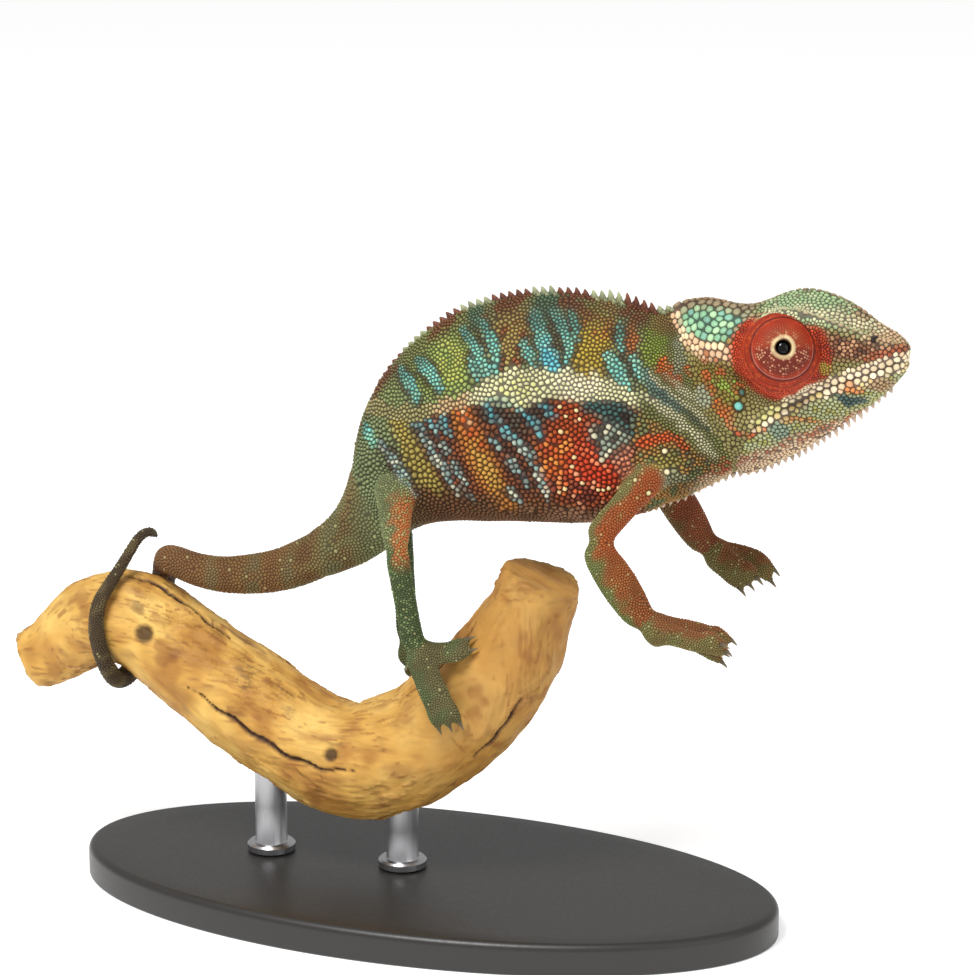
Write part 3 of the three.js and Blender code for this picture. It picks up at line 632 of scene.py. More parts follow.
# %% The stripe along the flank
STRIPE = np.array([  # (forward of the trunk's middle, height of the stripe's middle, half its width)
    (-12.6, -0.2, 0.9), (-3.5, 3.6, 1), (1, 5.4, 2.1), (4.5, 5.7, 2.9), (9, 6.6, 1.7), (13, 6.8, 2.2),
    (17, 6.6, 1.6), (20, 6, 0.9), (23, 5, 1.2), (26, 3.9, 1.3), (29, 2.2, 1.4), (33, -1.5, 1),
])


def over_stripe(x, z):
    """Height over the stripe's middle, and the stripe's half width there."""
    return z - np.interp(x, STRIPE[:, 0], STRIPE[:, 1]), np.interp(x, STRIPE[:, 0], STRIPE[:, 2])


# %% Spacing
FINENESS = 0.9
LIMB_SPACING = {"upper_arm": 0.52, "forearm": 0.52, "hand": 0.5, "thigh": 0.56, "shin": 0.56, "foot": 0.5}
TAIL_SPACING = (0.72, 0.68, 0.64, 0.6, 0.56, 0.5)


def spacing_at(points, labels):
    """How far apart scales sit, in millimetres."""
    x, z = side_view(points)
    over, _ = over_stripe(x, z)
    wanted = np.full(len(points), 0.85)
    low_flank = ramp(over, -0.5, -3) * ramp(z, -16, -12)
    wanted += 0.14 * low_flank - 0.12 * ramp(over, 2, 6)
    wanted -= 0.12 * ramp(x, 20, 27) + 0.1 * ramp(x, -12, -18) + 0.15 * ramp(z, -12, -15)
    for name, spacing in LIMB_SPACING.items():
        wanted[labelled(labels, [f"{name}_{side}" for side in SIDES])] = spacing
    for name, spacing in zip(TAIL, TAIL_SPACING):
        wanted[labelled(labels, [name])] = spacing
    wanted -= 0.12 * labelled(labels, ["neck"])
    head = labelled(labels, HEAD)
    face = 0.82 + 0.6 * ramp(z, 12.0, 13.2) * ramp(x, 39.5, 37.5) - 0.15 * ramp(z, 1, -3)
    wanted = np.where(head, face, wanted)
    rim = round_turret(points)[0]
    return np.where(head, wanted + (0.5 - wanted) * ramp(rim, 1.35, 1.1), wanted) * FINENESS


# %% The grain of the skin
def tube_axis(normals, quads, rounds):
    """The direction along a tube. A tube turns round its axis but not along it, so the axis is the
    direction that the normals near a point avoid."""
    pairs = ((0, 0), (0, 1), (0, 2), (1, 1), (1, 2), (2, 2))
    spread = averaged(np.stack([normals[:, a] * normals[:, b] for a, b in pairs], 1), quads, rounds=rounds)
    square = spread[:, [0, 1, 2, 1, 3, 4, 2, 4, 5]].reshape(-1, 3, 3)
    return np.linalg.eigh(square)[1][:, :, 0]


def flattened(way, normals):
    """Directions laid flat on a surface."""
    return unit(way - (way * normals).sum(1, keepdims=True) * normals)


def grain_of(normals, labels, quads):
    """The way rows of scales run: along the body, and round the limbs and tail."""
    round_tube = np.cross(tube_axis(normals, quads, 40), normals)
    tube = labelled(labels, [*TAIL[1:], *ARMS, *LEGS])[:, None]
    return flattened(np.where(tube, round_tube, [1.0, 0.0, 0.0]), normals)


skin_label = labels_at(skin_points)  # again, because the folds moved the points
skin_spacing = averaged(spacing_at(skin_points, skin_label)[:, None], skin_quads)[:, 0]
skin_grain = grain_of(skin_normals, skin_label, skin_quads)
print("spacing from", round(skin_spacing.min(), 2), "to", round(skin_spacing.max(), 2), "mm")


# %% Landing on the skin
skin_tree = BVHTree.FromPolygons(skin_points.tolist(), skin_quads.tolist())


def tree_of(points):
    """A tree that finds the nearest of many points quickly."""
    tree = KDTree(len(points))
    for i, place in enumerate(points):
        tree.insert(place, i)
    tree.balance()
    return tree


def landed(points):
    """Each point moved to the nearest place on the skin, with the face it is on."""
    found = [skin_tree.find_nearest(Vector(p)) for p in points]
    return np.array([f[0] for f in found]), np.array([f[2] for f in found])


def nearest_corner(points, faces):
    """Which corner of its face each point is nearest to, as that corner's number on the skin."""
    corners = skin_points[skin_quads[faces]]
    nearest = np.linalg.norm(corners - points[:, None], axis=2).argmin(1)
    return skin_quads[faces, nearest]


def shot(start, way):
    """Where a ray from start meets the skin."""
    return skin_tree.ray_cast(Vector(start), Vector(way))[0]


# %% Rows: lips and ridges
def spaced(line, gap):
    """Places a gap apart along a line of points."""
    line = np.asarray(line)
    lengths = np.r_[0, np.cumsum(np.linalg.norm(np.diff(line, axis=0), axis=1))]
    places = np.arange(gap / 2, lengths[-1], gap)
    return np.stack([np.interp(places, lengths, line[:, a]) for a in range(3)], 1)


def lip_rows():
    rows = []
    mouth = list(zip(MOUTH_STATIONS, mouth_heights))
    for side in (-1, 1):
        for rise in (LIP / 2, -LIP / 2):
            hits = [shot((x, side * BESIDE, z + rise), (0, -side, 0)) for x, z in mouth]
            rows.append(spaced([tuple(h) for h in hits if h and h.y * side > 0], LIP))
    return np.concatenate(rows)


def smoothed_line(line, rounds):
    line = np.array(line)
    for _ in range(rounds):
        line[1:-1] = (line[:-2] + 2 * line[1:-1] + line[2:]) / 4
    return line


def ridge_rows():
    """The edges of the snout on both sides, and the crest along the casque, by the skin's highest points."""
    top = skin_points[labelled(skin_label, ["head", "casque"])]
    middle = between_eyes[1] - 2.0
    rows = []
    for side, first, last in ((-1, 37.0, 57.5), (1, 37.0, 57.5), (0, 27.0, 35.5)):
        line = []
        for forward in np.arange(first, last, 0.5):
            slab = top[np.abs(top[:, 0] - HEART[0] - forward) < 0.35]
            slab = slab[(slab[:, 1] - middle) * side > 1.2] if side else slab
            if len(slab):
                line.append(slab[slab[:, 2].argmax()])
        rows.append(spaced(smoothed_line(line, 6), RIDGE))
    return np.concatenate(rows)


LIP, RIDGE = 1.2, 1.05  # mm, the width of a scale of the lips and of the ridges
BESIDE = 30  # mm from the middle, well outside the animal
TUBERCLES = [  # (place, width, colour) of single large beads, the same on both sides
    ((37.5, 5.6), 2.9, (104, 176, 180)), ((38.1, 7.8), 1.9, (60, 98, 92)),
    ((26.5, -2), 1.5, (216, 208, 184)), ((26.8, -5.2), 1.5, (216, 208, 184)),
    ((24.7, -8), 1.3, (196, 192, 150)), ((22.8, -6.2), 1.2, (190, 182, 140)),
]


def tubercles():
    return np.array([
        tuple(shot((HEART[0] + x, side * BESIDE, HEART[2] + z), (0, -side, 0)))
        for side in (-1, 1) for (x, z), _, _ in TUBERCLES
    ])


lips, ridges, lone = lip_rows(), ridge_rows(), tubercles()
fixed = np.concatenate([lips, ridges, lone])
wide = [width for _, width, _ in TUBERCLES] * 2
fixed_size = np.r_[np.full(len(lips), LIP), np.full(len(ridges), RIDGE), wide]
print("lip scales:", len(lips), "ridge scales:", len(ridges), "single beads:", len(lone))

# %% Scattering the roots
TAKEN_UP = 0.62  # mm round a given scale in which no other grows
BIG, BIG_SLENDER = 0.015, 0.022  # share of big scales on the body, and on the limbs and tail
HEXAGON = 0.866  # a scale's area in squares of its spacing, where six stand round each
dice = np.random.default_rng(7)
face_area = 0.5 * np.linalg.norm(face_normals(skin_points, skin_quads), axis=1)
face_spacing = skin_spacing[skin_quads].mean(1)
bare = round_turret(skin_points)[1]
by_hand = tree_of(fixed)
taken = np.array([by_hand.find(p)[2] for p in skin_points]) < TAKEN_UP
closed = bare[skin_quads].all(1) | taken[skin_quads].any(1)
crowd = np.where(closed, 0, face_area / (HEXAGON * face_spacing**2))
count = int(crowd.sum() * 1.08)
faces = dice.choice(len(crowd), count, p=crowd / crowd.sum())
corner_share = dice.dirichlet(np.ones(4), count)
roots = (skin_points[skin_quads[faces]] * corner_share[:, :, None]).sum(1)
slender = labelled(skin_label, SLENDER)[skin_quads[faces, 0]]
roots = np.concatenate([fixed, roots])
loose = np.arange(len(roots)) >= len(fixed)
big_share = np.where(np.r_[np.ones(len(fixed), bool), slender], BIG_SLENDER, BIG)
big = loose & (dice.random(len(roots)) < big_share)
print("roots:", len(roots))


# %% Pushing neighbours apart
NEAR = 9  # neighbours looked at
ROUNDS = 12


def neighbours(points):
    """The nearest roots to each root, and how far away they are."""
    tree = tree_of(points)
    found = [tree.find_n(p, NEAR + 1)[1:] for p in points]
    return np.array([[f[1] for f in row] for row in found]), np.array([[f[2] for f in row] for row in found])


def settle(points):
    """Roots that sit closer than their spacing push apart, and land on the skin again."""
    for _ in range(ROUNDS):
        on_skin = nearest_corner(points, landed(points)[1])
        spacing = skin_spacing[on_skin] * np.where(big, 1.3, 1.0)
        spacing[:len(fixed)] = fixed_size
        near, gap = neighbours(points)
        wanted = (spacing[:, None] + spacing[near]) / 2
        push = np.maximum(wanted * 1.04 - gap, 0) * 0.5
        away = points[:, None] - points[near]
        step = (away / np.maximum(gap, 1e-6)[:, :, None] * push[:, :, None]).sum(1) * 0.6
        points = np.where(loose[:, None], points + step, points)
        points = np.where(loose[:, None], landed(points)[0], points)
    return points


roots, root_face = landed(settle(roots))
root_corner = nearest_corner(roots, root_face)
keep = ~round_turret(roots)[1]
print("settled:", int(keep.sum()))

# %% [markdown]
# ## The markings
#
# A panther chameleon's colours come from cells in each scale, so one scale has one colour and the next may
# differ. Blue bars run down the upper flank, a pale stripe crosses them, and the shoulder glows red and
# orange. The same function paints the scales and the skin between them, which is darker. It lays one colour
# over another by masks made of lines, patches and smooth noise, all placed from the middle of the trunk.


# %% Smooth noise
def noise(points, size, seed):
    """Smooth noise from about -1 to 1, a sum of waves about size millimetres long."""
    waves = np.random.default_rng(seed)
    total = np.zeros(len(points))
    for _ in range(9):
        way = unit(waves.normal(size=3))
        length = size * waves.uniform(0.7, 1.5)
        total += np.sin(points @ way * math.tau / length + waves.uniform(0, math.tau))
    return total / 3.2


# %% Laying colours
def linear(colour):
    """A colour of 0 to 255, as the eye sees it, as light."""
    c = np.asarray(colour, float) / 255
    return np.where(c < 0.04045, c / 12.92, ((c + 0.055) / 1.055) ** 2.4)


def laid(under, layers):
    """Colours laid one over another: (colour, mask) of each layer, the lowest first."""
    for colour, mask in layers:
        under = under + (linear(colour) - under) * np.clip(mask, 0, 1)[:, None]
    return under


def plain(colour, count):
    return np.tile(linear(colour), (count, 1))


class Side:
    """The animal seen from the side, with its places shifted a little by noise, and masks drawn on it."""

    def __init__(self, points, shift=0.0, seed=0, size=2.4):
        x, z = side_view(points)
        self.x = x + shift * noise(points, size, seed)
        self.z = z + shift * noise(points, size, seed + 1)

    def bars(self, lines, soft=0.35):
        """Bars: each is (half width, places it runs through)."""
        mask = np.zeros(len(self.x))
        for half, line in lines:
            gap, along = line_distance(self.x, self.z, line)
            width = half * (0.75 + 0.35 * np.sin(np.pi * np.clip(along, 0.05, 0.95)))
            mask = np.maximum(mask, ramp(gap, width + soft, width - soft))
        return mask

    def oval(self, x, z, wide, high, soft=0.35):
        return ramp(np.hypot((self.x - x) / wide, (self.z - z) / high), 1 + soft, 1 - soft)

    def ring(self, x, z, radius, soft):
        return ramp(np.abs(np.hypot(self.x - x, self.z - z) - radius), soft, 0.2)


# %% Bars on the flank
# (half width, places it runs through) of each bar
BLUE_BARS = [
    (0.62, [(-4.3, 15.2), (-2, 13.4), (-0.2, 11.1), (0.5, 7.4)]),
    (0.62, [(-5.8, 13.2), (-3.2, 10.5), (-0.9, 7.2)]), (0.4, [(-4, 9.2), (-2.2, 6.4)]),
    (1.05, [(5, 17), (6.3, 14.7), (7.6, 12.2), (9, 9.6), (9.8, 8)]),
    (0.55, [(7.8, 17.5), (9.7, 15.2), (11.1, 12.6), (11.4, 9)]),
    (0.45, [(9.8, 18.4), (11.4, 15.9), (12.5, 13.4)]), (0.5, [(4.3, 12.1), (5.4, 10.4), (6.2, 9.2)]),
    (0.45, [(18.3, 15.9), (19.2, 12.4)]), (0.85, [(17.5, 11.2), (18.8, 9.4), (20.4, 7.2)]),
    (0.6, [(20.9, 11.2), (22.4, 9.2), (24.2, 7.2)]), (0.8, [(-16.2, 6.2), (-14.2, 4.6), (-12.4, 2.6)]),
    (0.9, [(-12.9, 7.8), (-10.8, 6.4), (-8.9, 4.4)]), (0.8, [(-22.4, -2.8), (-20, -5.2)]),
    (0.5, [(-18.6, 7), (-16.2, 8)]),
]
BEAD_BARS = [
    (0.62, [(-1.4, 3.4), (1.1, 0.5), (3.9, -1.9), (6.7, -4.4), (8, -8), (8.6, -12)]),
    (0.5, [(0.2, -2.2), (3.2, -5.4), (6.2, -9.6)]), (0.45, [(3.8, 3.4), (6.3, 1.2), (8.4, -1.4)]),
    (0.4, [(7.6, 3.9), (9.9, 2)]), (0.5, [(-12.3, -1.4), (-9.9, -4.7), (-7.4, -7.9), (-5.7, -12)]),
    (0.5, [(-10, -0.8), (-7.3, -4.4), (-5.3, -8.4), (-3.4, -12.4)]), (0.45, [(-8.3, 1.6), (-6.7, -2.4)]),
    (0.6, [(-18.1, -5.4), (-14.5, -9), (-12.5, -12)]), (0.45, [(2.2, -9), (4.4, -12.4)]),
]
DARK = (58, 34, 26)
BACK_TEAL = [(1.2, [(-5, 18.5), (-4.2, 14)]), (1.6, [(6, 20), (8, 16)]), (0.8, [(10, 20), (11, 16)])]


def widened(lines, extra):
    return [(half + extra, line) for half, line in lines]


# %% The line of the back
def back_line():
    """The top of the skin along the middle, from the rump to the casque."""
    across = np.arange(LOWEST[0] * VOXEL, HIGHEST[0] * VOXEL, 1.0)
    tops = [shot((x, 0, HIGHEST[2] * VOXEL), (0, 0, -1)) for x in across]
    return smoothed_line([top for top in tops if top], 3)


BACK = back_line()
print("the back's highest point:", np.round(BACK[BACK[:, 2].argmax()], 1))


def below(line, points):
    """How far below a line over the animal, of places with x first and height last, each point is."""
    return np.interp(points[:, 0], line[:, 0], line[:, -1]) - points[:, 2]


# %% The upper flank
def paint_upper_flank(colour, points, dice):
    on = Side(points, 0.28, 11)
    x, z = on.x, on.z
    blotch = noise(points, 2.2, 13) + 0.7 * (dice - 0.5)
    back = below(BACK, points)
    upper = ramp(over_stripe(x, z)[0], -0.5, 1)
    blue = on.bars(BLUE_BARS) * ramp(back, 1.2, 3)
    dark = on.bars(widened(BLUE_BARS, 0.75), 0.5) * upper * ramp(back, 1.5, 3.5)
    return laid(colour, [
        ((132, 154, 88), on.oval(-9, 9, 6.5, 6.5)),
        ((166, 176, 96), on.oval(-6.9, 8.6, 2.6, 4.4) * ramp(blotch, -0.9, 0.6)),
        ((126, 142, 96), on.oval(-17.8, 1.6, 3.2, 3.2) * 0.9),
        ((150, 130, 78), on.oval(1.8, 13.4, 3, 5)),
        ((122, 52, 30), on.oval(2.4, 11, 2.4, 4.2) * ramp(blotch, -0.1, 0.5) * 0.85),
        ((158, 138, 58), on.oval(14.8, 12.6, 3.1, 6.4)),
        ((156, 94, 44), on.oval(14.8, 16.6, 3.6, 3.4) * ramp(blotch, -0.5, 0.5) * 0.85),
        ((134, 156, 56), on.oval(23.8, 13.4, 1.6, 4)),
        ((180, 96, 42), on.oval(20.6, 14.4, 0.9, 3) * 0.8),
        ((96, 92, 62), ramp(back, 5, 1) * 0.7 * (x < 27)),
        ((66, 98, 82), ramp(back, 5.5, 2.5) * on.bars(BACK_TEAL, 0.8) * 0.85),
        ((104, 58, 38), ramp(back, 3, 0.6) * ramp(np.sin(x * 0.62 + 1.2) + 0.6 * blotch, -0.1, 0.6) * 0.85),
        (DARK, dark * ramp(blotch, -1.3, 0.2) * 0.85),
        ((120, 184, 174), blue),
        ((90, 176, 200), blue * np.maximum(on.oval(8.6, 10.2, 1.9, 2.9), 0.4 * (dice > 0.65))),
        ((138, 184, 178), blue * (dice < 0.2) * 0.7),
        ((66, 104, 96), blue * ramp(back, 6, 3.5) * 0.7),
    ])


# %% The lower flank
def paint_lower_flank(colour, points, dice):
    on = Side(points, 0.28, 15)
    x, z = on.x, on.z
    blotch = noise(points, 2.2, 17) + 0.7 * (dice - 0.5)
    low = ramp(over_stripe(x, z)[0], -0.3, -1.3)
    warm = low * on.bars([(1.2, [(-4.6, 1.4), (-2, -4), (0.6, -9.6)])], 0.9)
    beads = on.bars(BEAD_BARS) * low * ramp(blotch, -1.2, -0.6)
    return laid(colour, [
        ((118, 66, 40), low * ramp(x, -15, -9)),
        ((54, 62, 58), low * on.oval(3.5, 1.6, 6, 3) * ramp(blotch, -0.9, 0.3) * 0.85),
        ((168, 108, 46), low * on.bars([(2, [(-5.2, 1.6), (-2.6, -3.8), (0.2, -9.2), (2.2, -12.8)])], 0.8)),
        ((176, 82, 34), warm * ramp(z + 2 * blotch, -4.5, -1)),
        ((178, 142, 70), warm * ramp(z + 2 * blotch, -3, -6) * 0.8),
        ((150, 136, 72), low * on.bars([(1.6, [(-16, -1.5), (-12.3, -6.7), (-8.8, -11.2)])], 0.8)),
        (DARK, on.bars(widened(BEAD_BARS, 0.7), 0.5) * low * ramp(blotch, -1.4, -0.2) * 0.9),
        ((124, 150, 156), beads),
        ((186, 190, 182), beads * ramp(blotch, 0, 0.6) * ramp(z, 0, -4)),
        ((76, 140, 158), beads * ramp(z, -3.5, 0)),
        ((210, 186, 154), low * on.bars([(0.3, [(-4.6, 1.6), (-2.9, -0.6)])], 0.3) * (dice > 0.3)),
    ])


# %% The shoulder
def paint_shoulder(colour, points, dice):
    """The red patch, with grey, teal and pink round it."""
    on = Side(points, 0.35, 18)
    x, z = on.x, on.z
    blotch = noise(points, 2.6, 20) + 0.9 * (dice - 0.5)
    low = ramp(over_stripe(x, z)[0], -0.3, -1.3)
    red = np.maximum(on.oval(14, -4.4, 6.2, 7.6, 0.2), on.oval(12, 2, 2.4, 2.8, 0.3)) * low
    red *= 1 - 0.9 * on.bars(BEAD_BARS[:4])
    grey = on.oval(18.4, -0.4, 3.1, 3.2) * low
    teal = on.bars([(1.5, [(14.8, 4.4), (19.5, 3.2), (22.5, 1.4), (26, 1.8), (28.5, 1)])], 0.7) * low
    return laid(colour, [
        ((150, 62, 26), red),
        ((184, 92, 36), red * ramp(z, -1, -4) * ramp(x, 17, 12) * ramp(blotch, -0.9, 0.3) * 0.85),
        ((196, 130, 58), red * on.oval(11, -4.6, 3, 4) * (dice > 0.62)),
        ((182, 52, 24), red * on.oval(16, -5, 4.2, 4.6) * 0.8),
        ((204, 98, 62), red * on.oval(15.5, -6, 4.4, 4.6) * (dice > 0.5) * 0.9),
        ((206, 140, 112), red * on.oval(15.5, -8.5, 4.5, 4) * (dice > 0.78)),
        ((96, 44, 36), red * on.oval(12.5, -9.6, 4, 2.6) * (dice < 0.55) * 0.85),
        ((214, 190, 150), red * ((dice > 0.93) + (dice > 0.6) * on.oval(12.6, 3.4, 1.3, 1.8))),
        ((70, 62, 56), grey),
        ((130, 142, 136), grey * (dice > 0.35) * 0.9),
        ((190, 188, 174), grey * (dice > 0.85)),
        ((52, 88, 90), teal),
        ((40, 32, 26), teal * ramp(np.sin((z + 0.35 * x) * 4.4), 0.1, 0.6) * ramp(x, 17, 20)),
        ((190, 122, 102), on.oval(20.7, -4, 1.7, 2.4) * low * (0.35 + 0.5 * (dice > 0.4))),
    ])


# %% The belly and the stripe
def paint_belly_and_stripe(colour, points, dice):
    on = Side(points)
    x, z = on.x, on.z
    rough = 0.3 * noise(points, 1.8, 24)
    over, half = over_stripe(x, z + rough)
    belly = ramp(z + 0.8 * noise(points, 5, 25), -10, -13.6) * ramp(x, -18, -14) * ramp(x, 21, 17)
    stripe = ramp(np.abs(over) / half + 0.6 * rough, 1.25, 0.85)
    return laid(colour, [
        ((96, 70, 46), belly * (0.65 + 0.3 * (dice > 0.4))),
        ((140, 104, 84), belly * ramp(noise(points, 3, 26), -0.1, 0.7) * ramp(x, 0, 8) * 0.7),
        ((194, 194, 164), stripe),
        ((194, 196, 136), stripe * on.oval(4, 5.6, 3.6, 3) * (dice < 0.5) * 0.75),
        ((218, 212, 190), stripe * on.oval(13, 6.8, 3.6, 2.4) * (dice < 0.7)),
        ((178, 146, 112), stripe * ramp(x, -2.5, -5) * 0.85),
        ((142, 138, 98), stripe * ramp(x, -8.5, -10.5)),
        ((92, 146, 146), stripe * on.oval(1.2, 3, 2.6, 1) * 0.8),
    ])


# %% The neck and throat
def paint_neck(colour, points, dice):
    on = Side(points, 0.35, 21)
    x, z = on.x, on.z
    blotch = noise(points, 1.8, 23)
    front = ramp(x, 21.5, 23.5)
    pale = on.bars([
        (0.6, [(22.6, 6.1), (26.2, 4.4), (29.4, 2.1), (31.6, 0.2), (33.5, -2.4)]),
        (0.45, [(24.1, 8.7), (28.4, 5.7), (32.1, 3.1), (34.9, 0.8), (37, -0.6)]),
        (0.35, [(26, 9.3), (30, 6.2), (33.4, 3.8)]),
    ], 0.3)
    low = ramp(z + 0.6 * (x - 28), 1.2, -0.8) * ramp(x, 21.5, 23)
    rows = np.sin((z + 0.22 * x + 0.2 * blotch) * 6.2)
    chin = z - 0.42 * (x - 37)
    throat = ramp(chin, -3, -5.2) * ramp(x, 28, 32)
    rust = ramp(np.abs(chin + 3.2), 1.7, 0.8) * ramp(x, 31, 35)
    return laid(colour, [
        ((112, 118, 72), front),
        ((126, 148, 62), front * on.oval(24, 13.5, 1.8, 3.4) * (dice > 0.2)),
        ((142, 150, 128), front * on.oval(28, 12.5, 1.1, 4) * 0.8),
        ((126, 96, 60), front * on.oval(25.5, 16.5, 2.6, 1.8) * 0.8),
        *[
            ((186, 92, 38), front * on.oval(*place, 0.9, 1.1) * (0.5 + 0.5 * (dice > 0.35)))
            for place in ((25.3, 10.4), (27.6, 8.4), (29.8, 10.6), (31.2, 8.6), (26.4, 9.6), (33, 6.4))
        ],
        ((96, 128, 124), on.bars([(0.8, [(22.2, 10), (24.4, 7.2), (28.6, 4.3)])]) * front),
        ((186, 186, 158), pale * front * 0.9),
        ((70, 92, 84), on.bars([(0.3, [(24.5, 6.8), (28.4, 4.6), (33, 1.2)])], 0.25) * front * 0.8),
        ((148, 112, 62), low),
        ((92, 108, 74), low * ramp(blotch, 0, 0.5) * 0.9),
        ((56, 62, 52), low * ramp(rows, 0.35, 0.85) * ramp(x, 26, 30) * 0.85),
        ((184, 78, 34), on.bars([(0.7, [(22.8, -1.4), (25, -0.5), (27.5, 0.3), (29.8, -1.2)])]) * low),
        ((136, 132, 72), on.oval(26.8, -4, 2.2, 2) * 0.8 * low),
        ((142, 150, 128), on.oval(27, -6.2, 2.4, 1.4) * 0.8 * low),
        ((196, 172, 152), throat * (0.6 + 0.4 * (dice > 0.3))),
        ((158, 84, 54), rust * (dice > 0.35) * ramp(rows, -0.6, 0.2)),
    ])


# %% The head
top_of_head = skin_points[labelled(skin_label, ["casque", "head"])]
CREST = np.array([
    (x, top_of_head[np.abs(top_of_head[:, 0] - x) < 0.5, 2].max()) for x in np.arange(38, 71, 0.7)
])  # the edges of the casque


def red_lid(points):
    """A mask of the red skin that rings each turret, up to the brow."""
    mask = np.zeros(len(points))
    for eye in EYES.values():
        away = points - eye["centre"]
        near = np.linalg.norm(away, axis=1) / eye["radius"]
        ring = ramp(near, 1.34, 1.16) * ramp(away @ eye["gaze"], -5.0, -3.2)
        mask = np.maximum(mask, ring * ramp(away[:, 2] / eye["radius"], 0.86, 0.66))
    return mask


def paint_head(colour, points, labels, dice):
    on = Side(points, 0.25, 31, 2)
    x, z = on.x, on.z
    blotch = noise(points, 1.6, 33)
    jaw = labelled(labels, ["jaw"])
    head = labelled(labels, HEAD)
    skull = ~jaw
    mouth = z - np.interp(x, *zip(*MOUTH))
    plates = skull * np.maximum(on.oval(32.6, 17.2, 5, 2.1, 0.15), on.oval(37.5, 17.6, 2.6, 1.6, 0.3))
    top = skull * ramp(x, 38, 41.5) * ramp(z - 19 + 0.22 * np.maximum(x - 50, 0), -1.3, 0.3)
    cheekbone = skull * ramp(x, 48, 52) * ramp(z, 13, 14.5) * ramp(z - 19.2 + 0.2 * (x - 46), 0, -1.2)
    nostril = ramp(np.hypot(x - 56.9, z - 16.6), 0.62, 0.35)
    corner = on.bars([(0.32, [(35.9, 2.8), (37.2, 1.6), (38.8, 0.9), (41.2, 2)])], 0.3)
    snout = on.bars([(0.5, [(55.8, 13.9), (58.2, 14.6), (60.6, 15.4)])], 0.5)
    line = skull * on.bars([(0.45, [(41, 19.4), (47.3, 20), (51.3, 19.4), (54.2, 18.3), (58, 17.2)])], 0.4)
    lip = ramp(mouth, 1.75, 1.35) * ramp(mouth, -1.75, -1.35) * head * ramp(x, 39, 40.5)
    chin = z - 0.47 * (x - 40)
    under = jaw * ramp(chin, -0.6, -2.2)
    red = red_lid(points) * ramp(mouth, 1.2, 2)
    return laid(colour, [
        ((132, 126, 82), head | (x > 30)),
        ((116, 102, 46), skull * on.oval(34.5, 8.5, 5, 4.6)),
        ((128, 150, 62), skull * on.oval(35.5, 9, 2.4, 2.4) * (blotch > 0.2)),
        *[
            ((168, 84, 36), skull * on.ring(*place, 0.6, 0.55) * (0.45 + 0.5 * (dice > 0.4)))
            for place in ((35, 10.6), (37.6, 8.4), (33.2, 7.4), (34.6, 5.4), (35.8, 4), (32.6, 9.4))
        ],
        ((142, 148, 130), skull * on.oval(31.8, 6.2, 1.6, 1.6)),
        ((206, 172, 148), skull * on.bars([(1.5, [(26.5, 18), (28.2, 15.2), (32, 13.6), (37, 13.6)])])),
        ((228, 202, 178), skull * on.bars([(1.2, [(27, 17.5), (29, 14.8), (36, 13.8)])]) * (dice > 0.5)),
        ((178, 116, 86), skull * on.bars([(1, [(32, 12.4), (38, 12.9)])]) * (dice > 0.55)),
        ((126, 174, 150), plates),
        ((158, 196, 166), plates * (dice > 0.66)),
        ((112, 160, 152), plates * (dice < 0.2)),
        ((134, 120, 102), skull * ramp(x, 40.5, 38) * ramp(below(CREST, points), 1.4, 0.5)),
        ((146, 172, 138), top),
        ((186, 196, 168), top * ramp(blotch, 0.2, 0.9) * 0.7),
        ((116, 112, 92), top * (dice > 0.84) * 0.7),
        ((150, 124, 102), top * ramp(x, 50.5, 54) * (dice > 0.35) * 0.8),
        ((120, 78, 58), cheekbone),
        ((168, 128, 104), cheekbone * (dice > 0.66)),
        ((84, 58, 48), cheekbone * (dice < 0.25)),
        ((190, 160, 136), skull * on.oval(59.5, 17, 3.4, 1.4) * (0.4 + 0.6 * (dice > 0.3))),
        # painted shade: the nostril near black, where the skin has no opening
        ((30, 18, 14), skull * nostril * ramp(np.abs(points[:, 1] - between_eyes[1]), 1.5, 2.1)),
        ((210, 204, 180), line * 0.8),
        ((168, 84, 54), skull * snout * ramp(mouth, 1, 1.8) * 0.85),
        ((218, 200, 180), lip),
        ((232, 220, 204), lip * (dice > 0.6)),
        ((206, 204, 142), lip * ramp(x, 45.5, 42.5) * ramp(mouth, -0.4, 0.4)),
        ((206, 190, 128), lip * ramp(mouth, 0.2, -0.4) * (dice < 0.4) * 0.7),
        ((162, 170, 136), jaw * ramp(mouth, -1.2, -2)),
        ((152, 152, 84), jaw * ramp(mouth, -1.4, -2.2) * ramp(blotch, 0.1, 0.7) * 0.9),
        ((200, 130, 80), jaw * on.oval(53.9, 9, 1.7, 0.8)),
        ((190, 120, 62), jaw * on.bars([(0.4, [(43.5, 3.6), (46.5, 4.2), (48.5, 3.6)])]) * 0.8),
        ((58, 84, 88), jaw * on.bars([(0.7, [(51.8, 8), (53.5, 6.9), (55.2, 7.4)])], 0.5)),
        ((122, 142, 132), jaw * on.oval(43.4, 1.9, 1.7, 1.5)),
        ((176, 132, 112), jaw * on.oval(58, 9.7, 1.8, 1) * 0.7),
        ((196, 172, 152), under),
        ((162, 92, 62), under * (dice > 0.55) * ramp(chin, -3.4, -2)),
        ((74, 62, 56), under * (dice < 0.12) * 0.8),
        ((186, 90, 56), corner * (x < 43)),
        ((186, 62, 26), red),
        ((150, 44, 22), red * (dice > 0.55)),
        ((168, 148, 62), skull * on.oval(50.3, 12.3, 0.8, 0.9)),
    ])


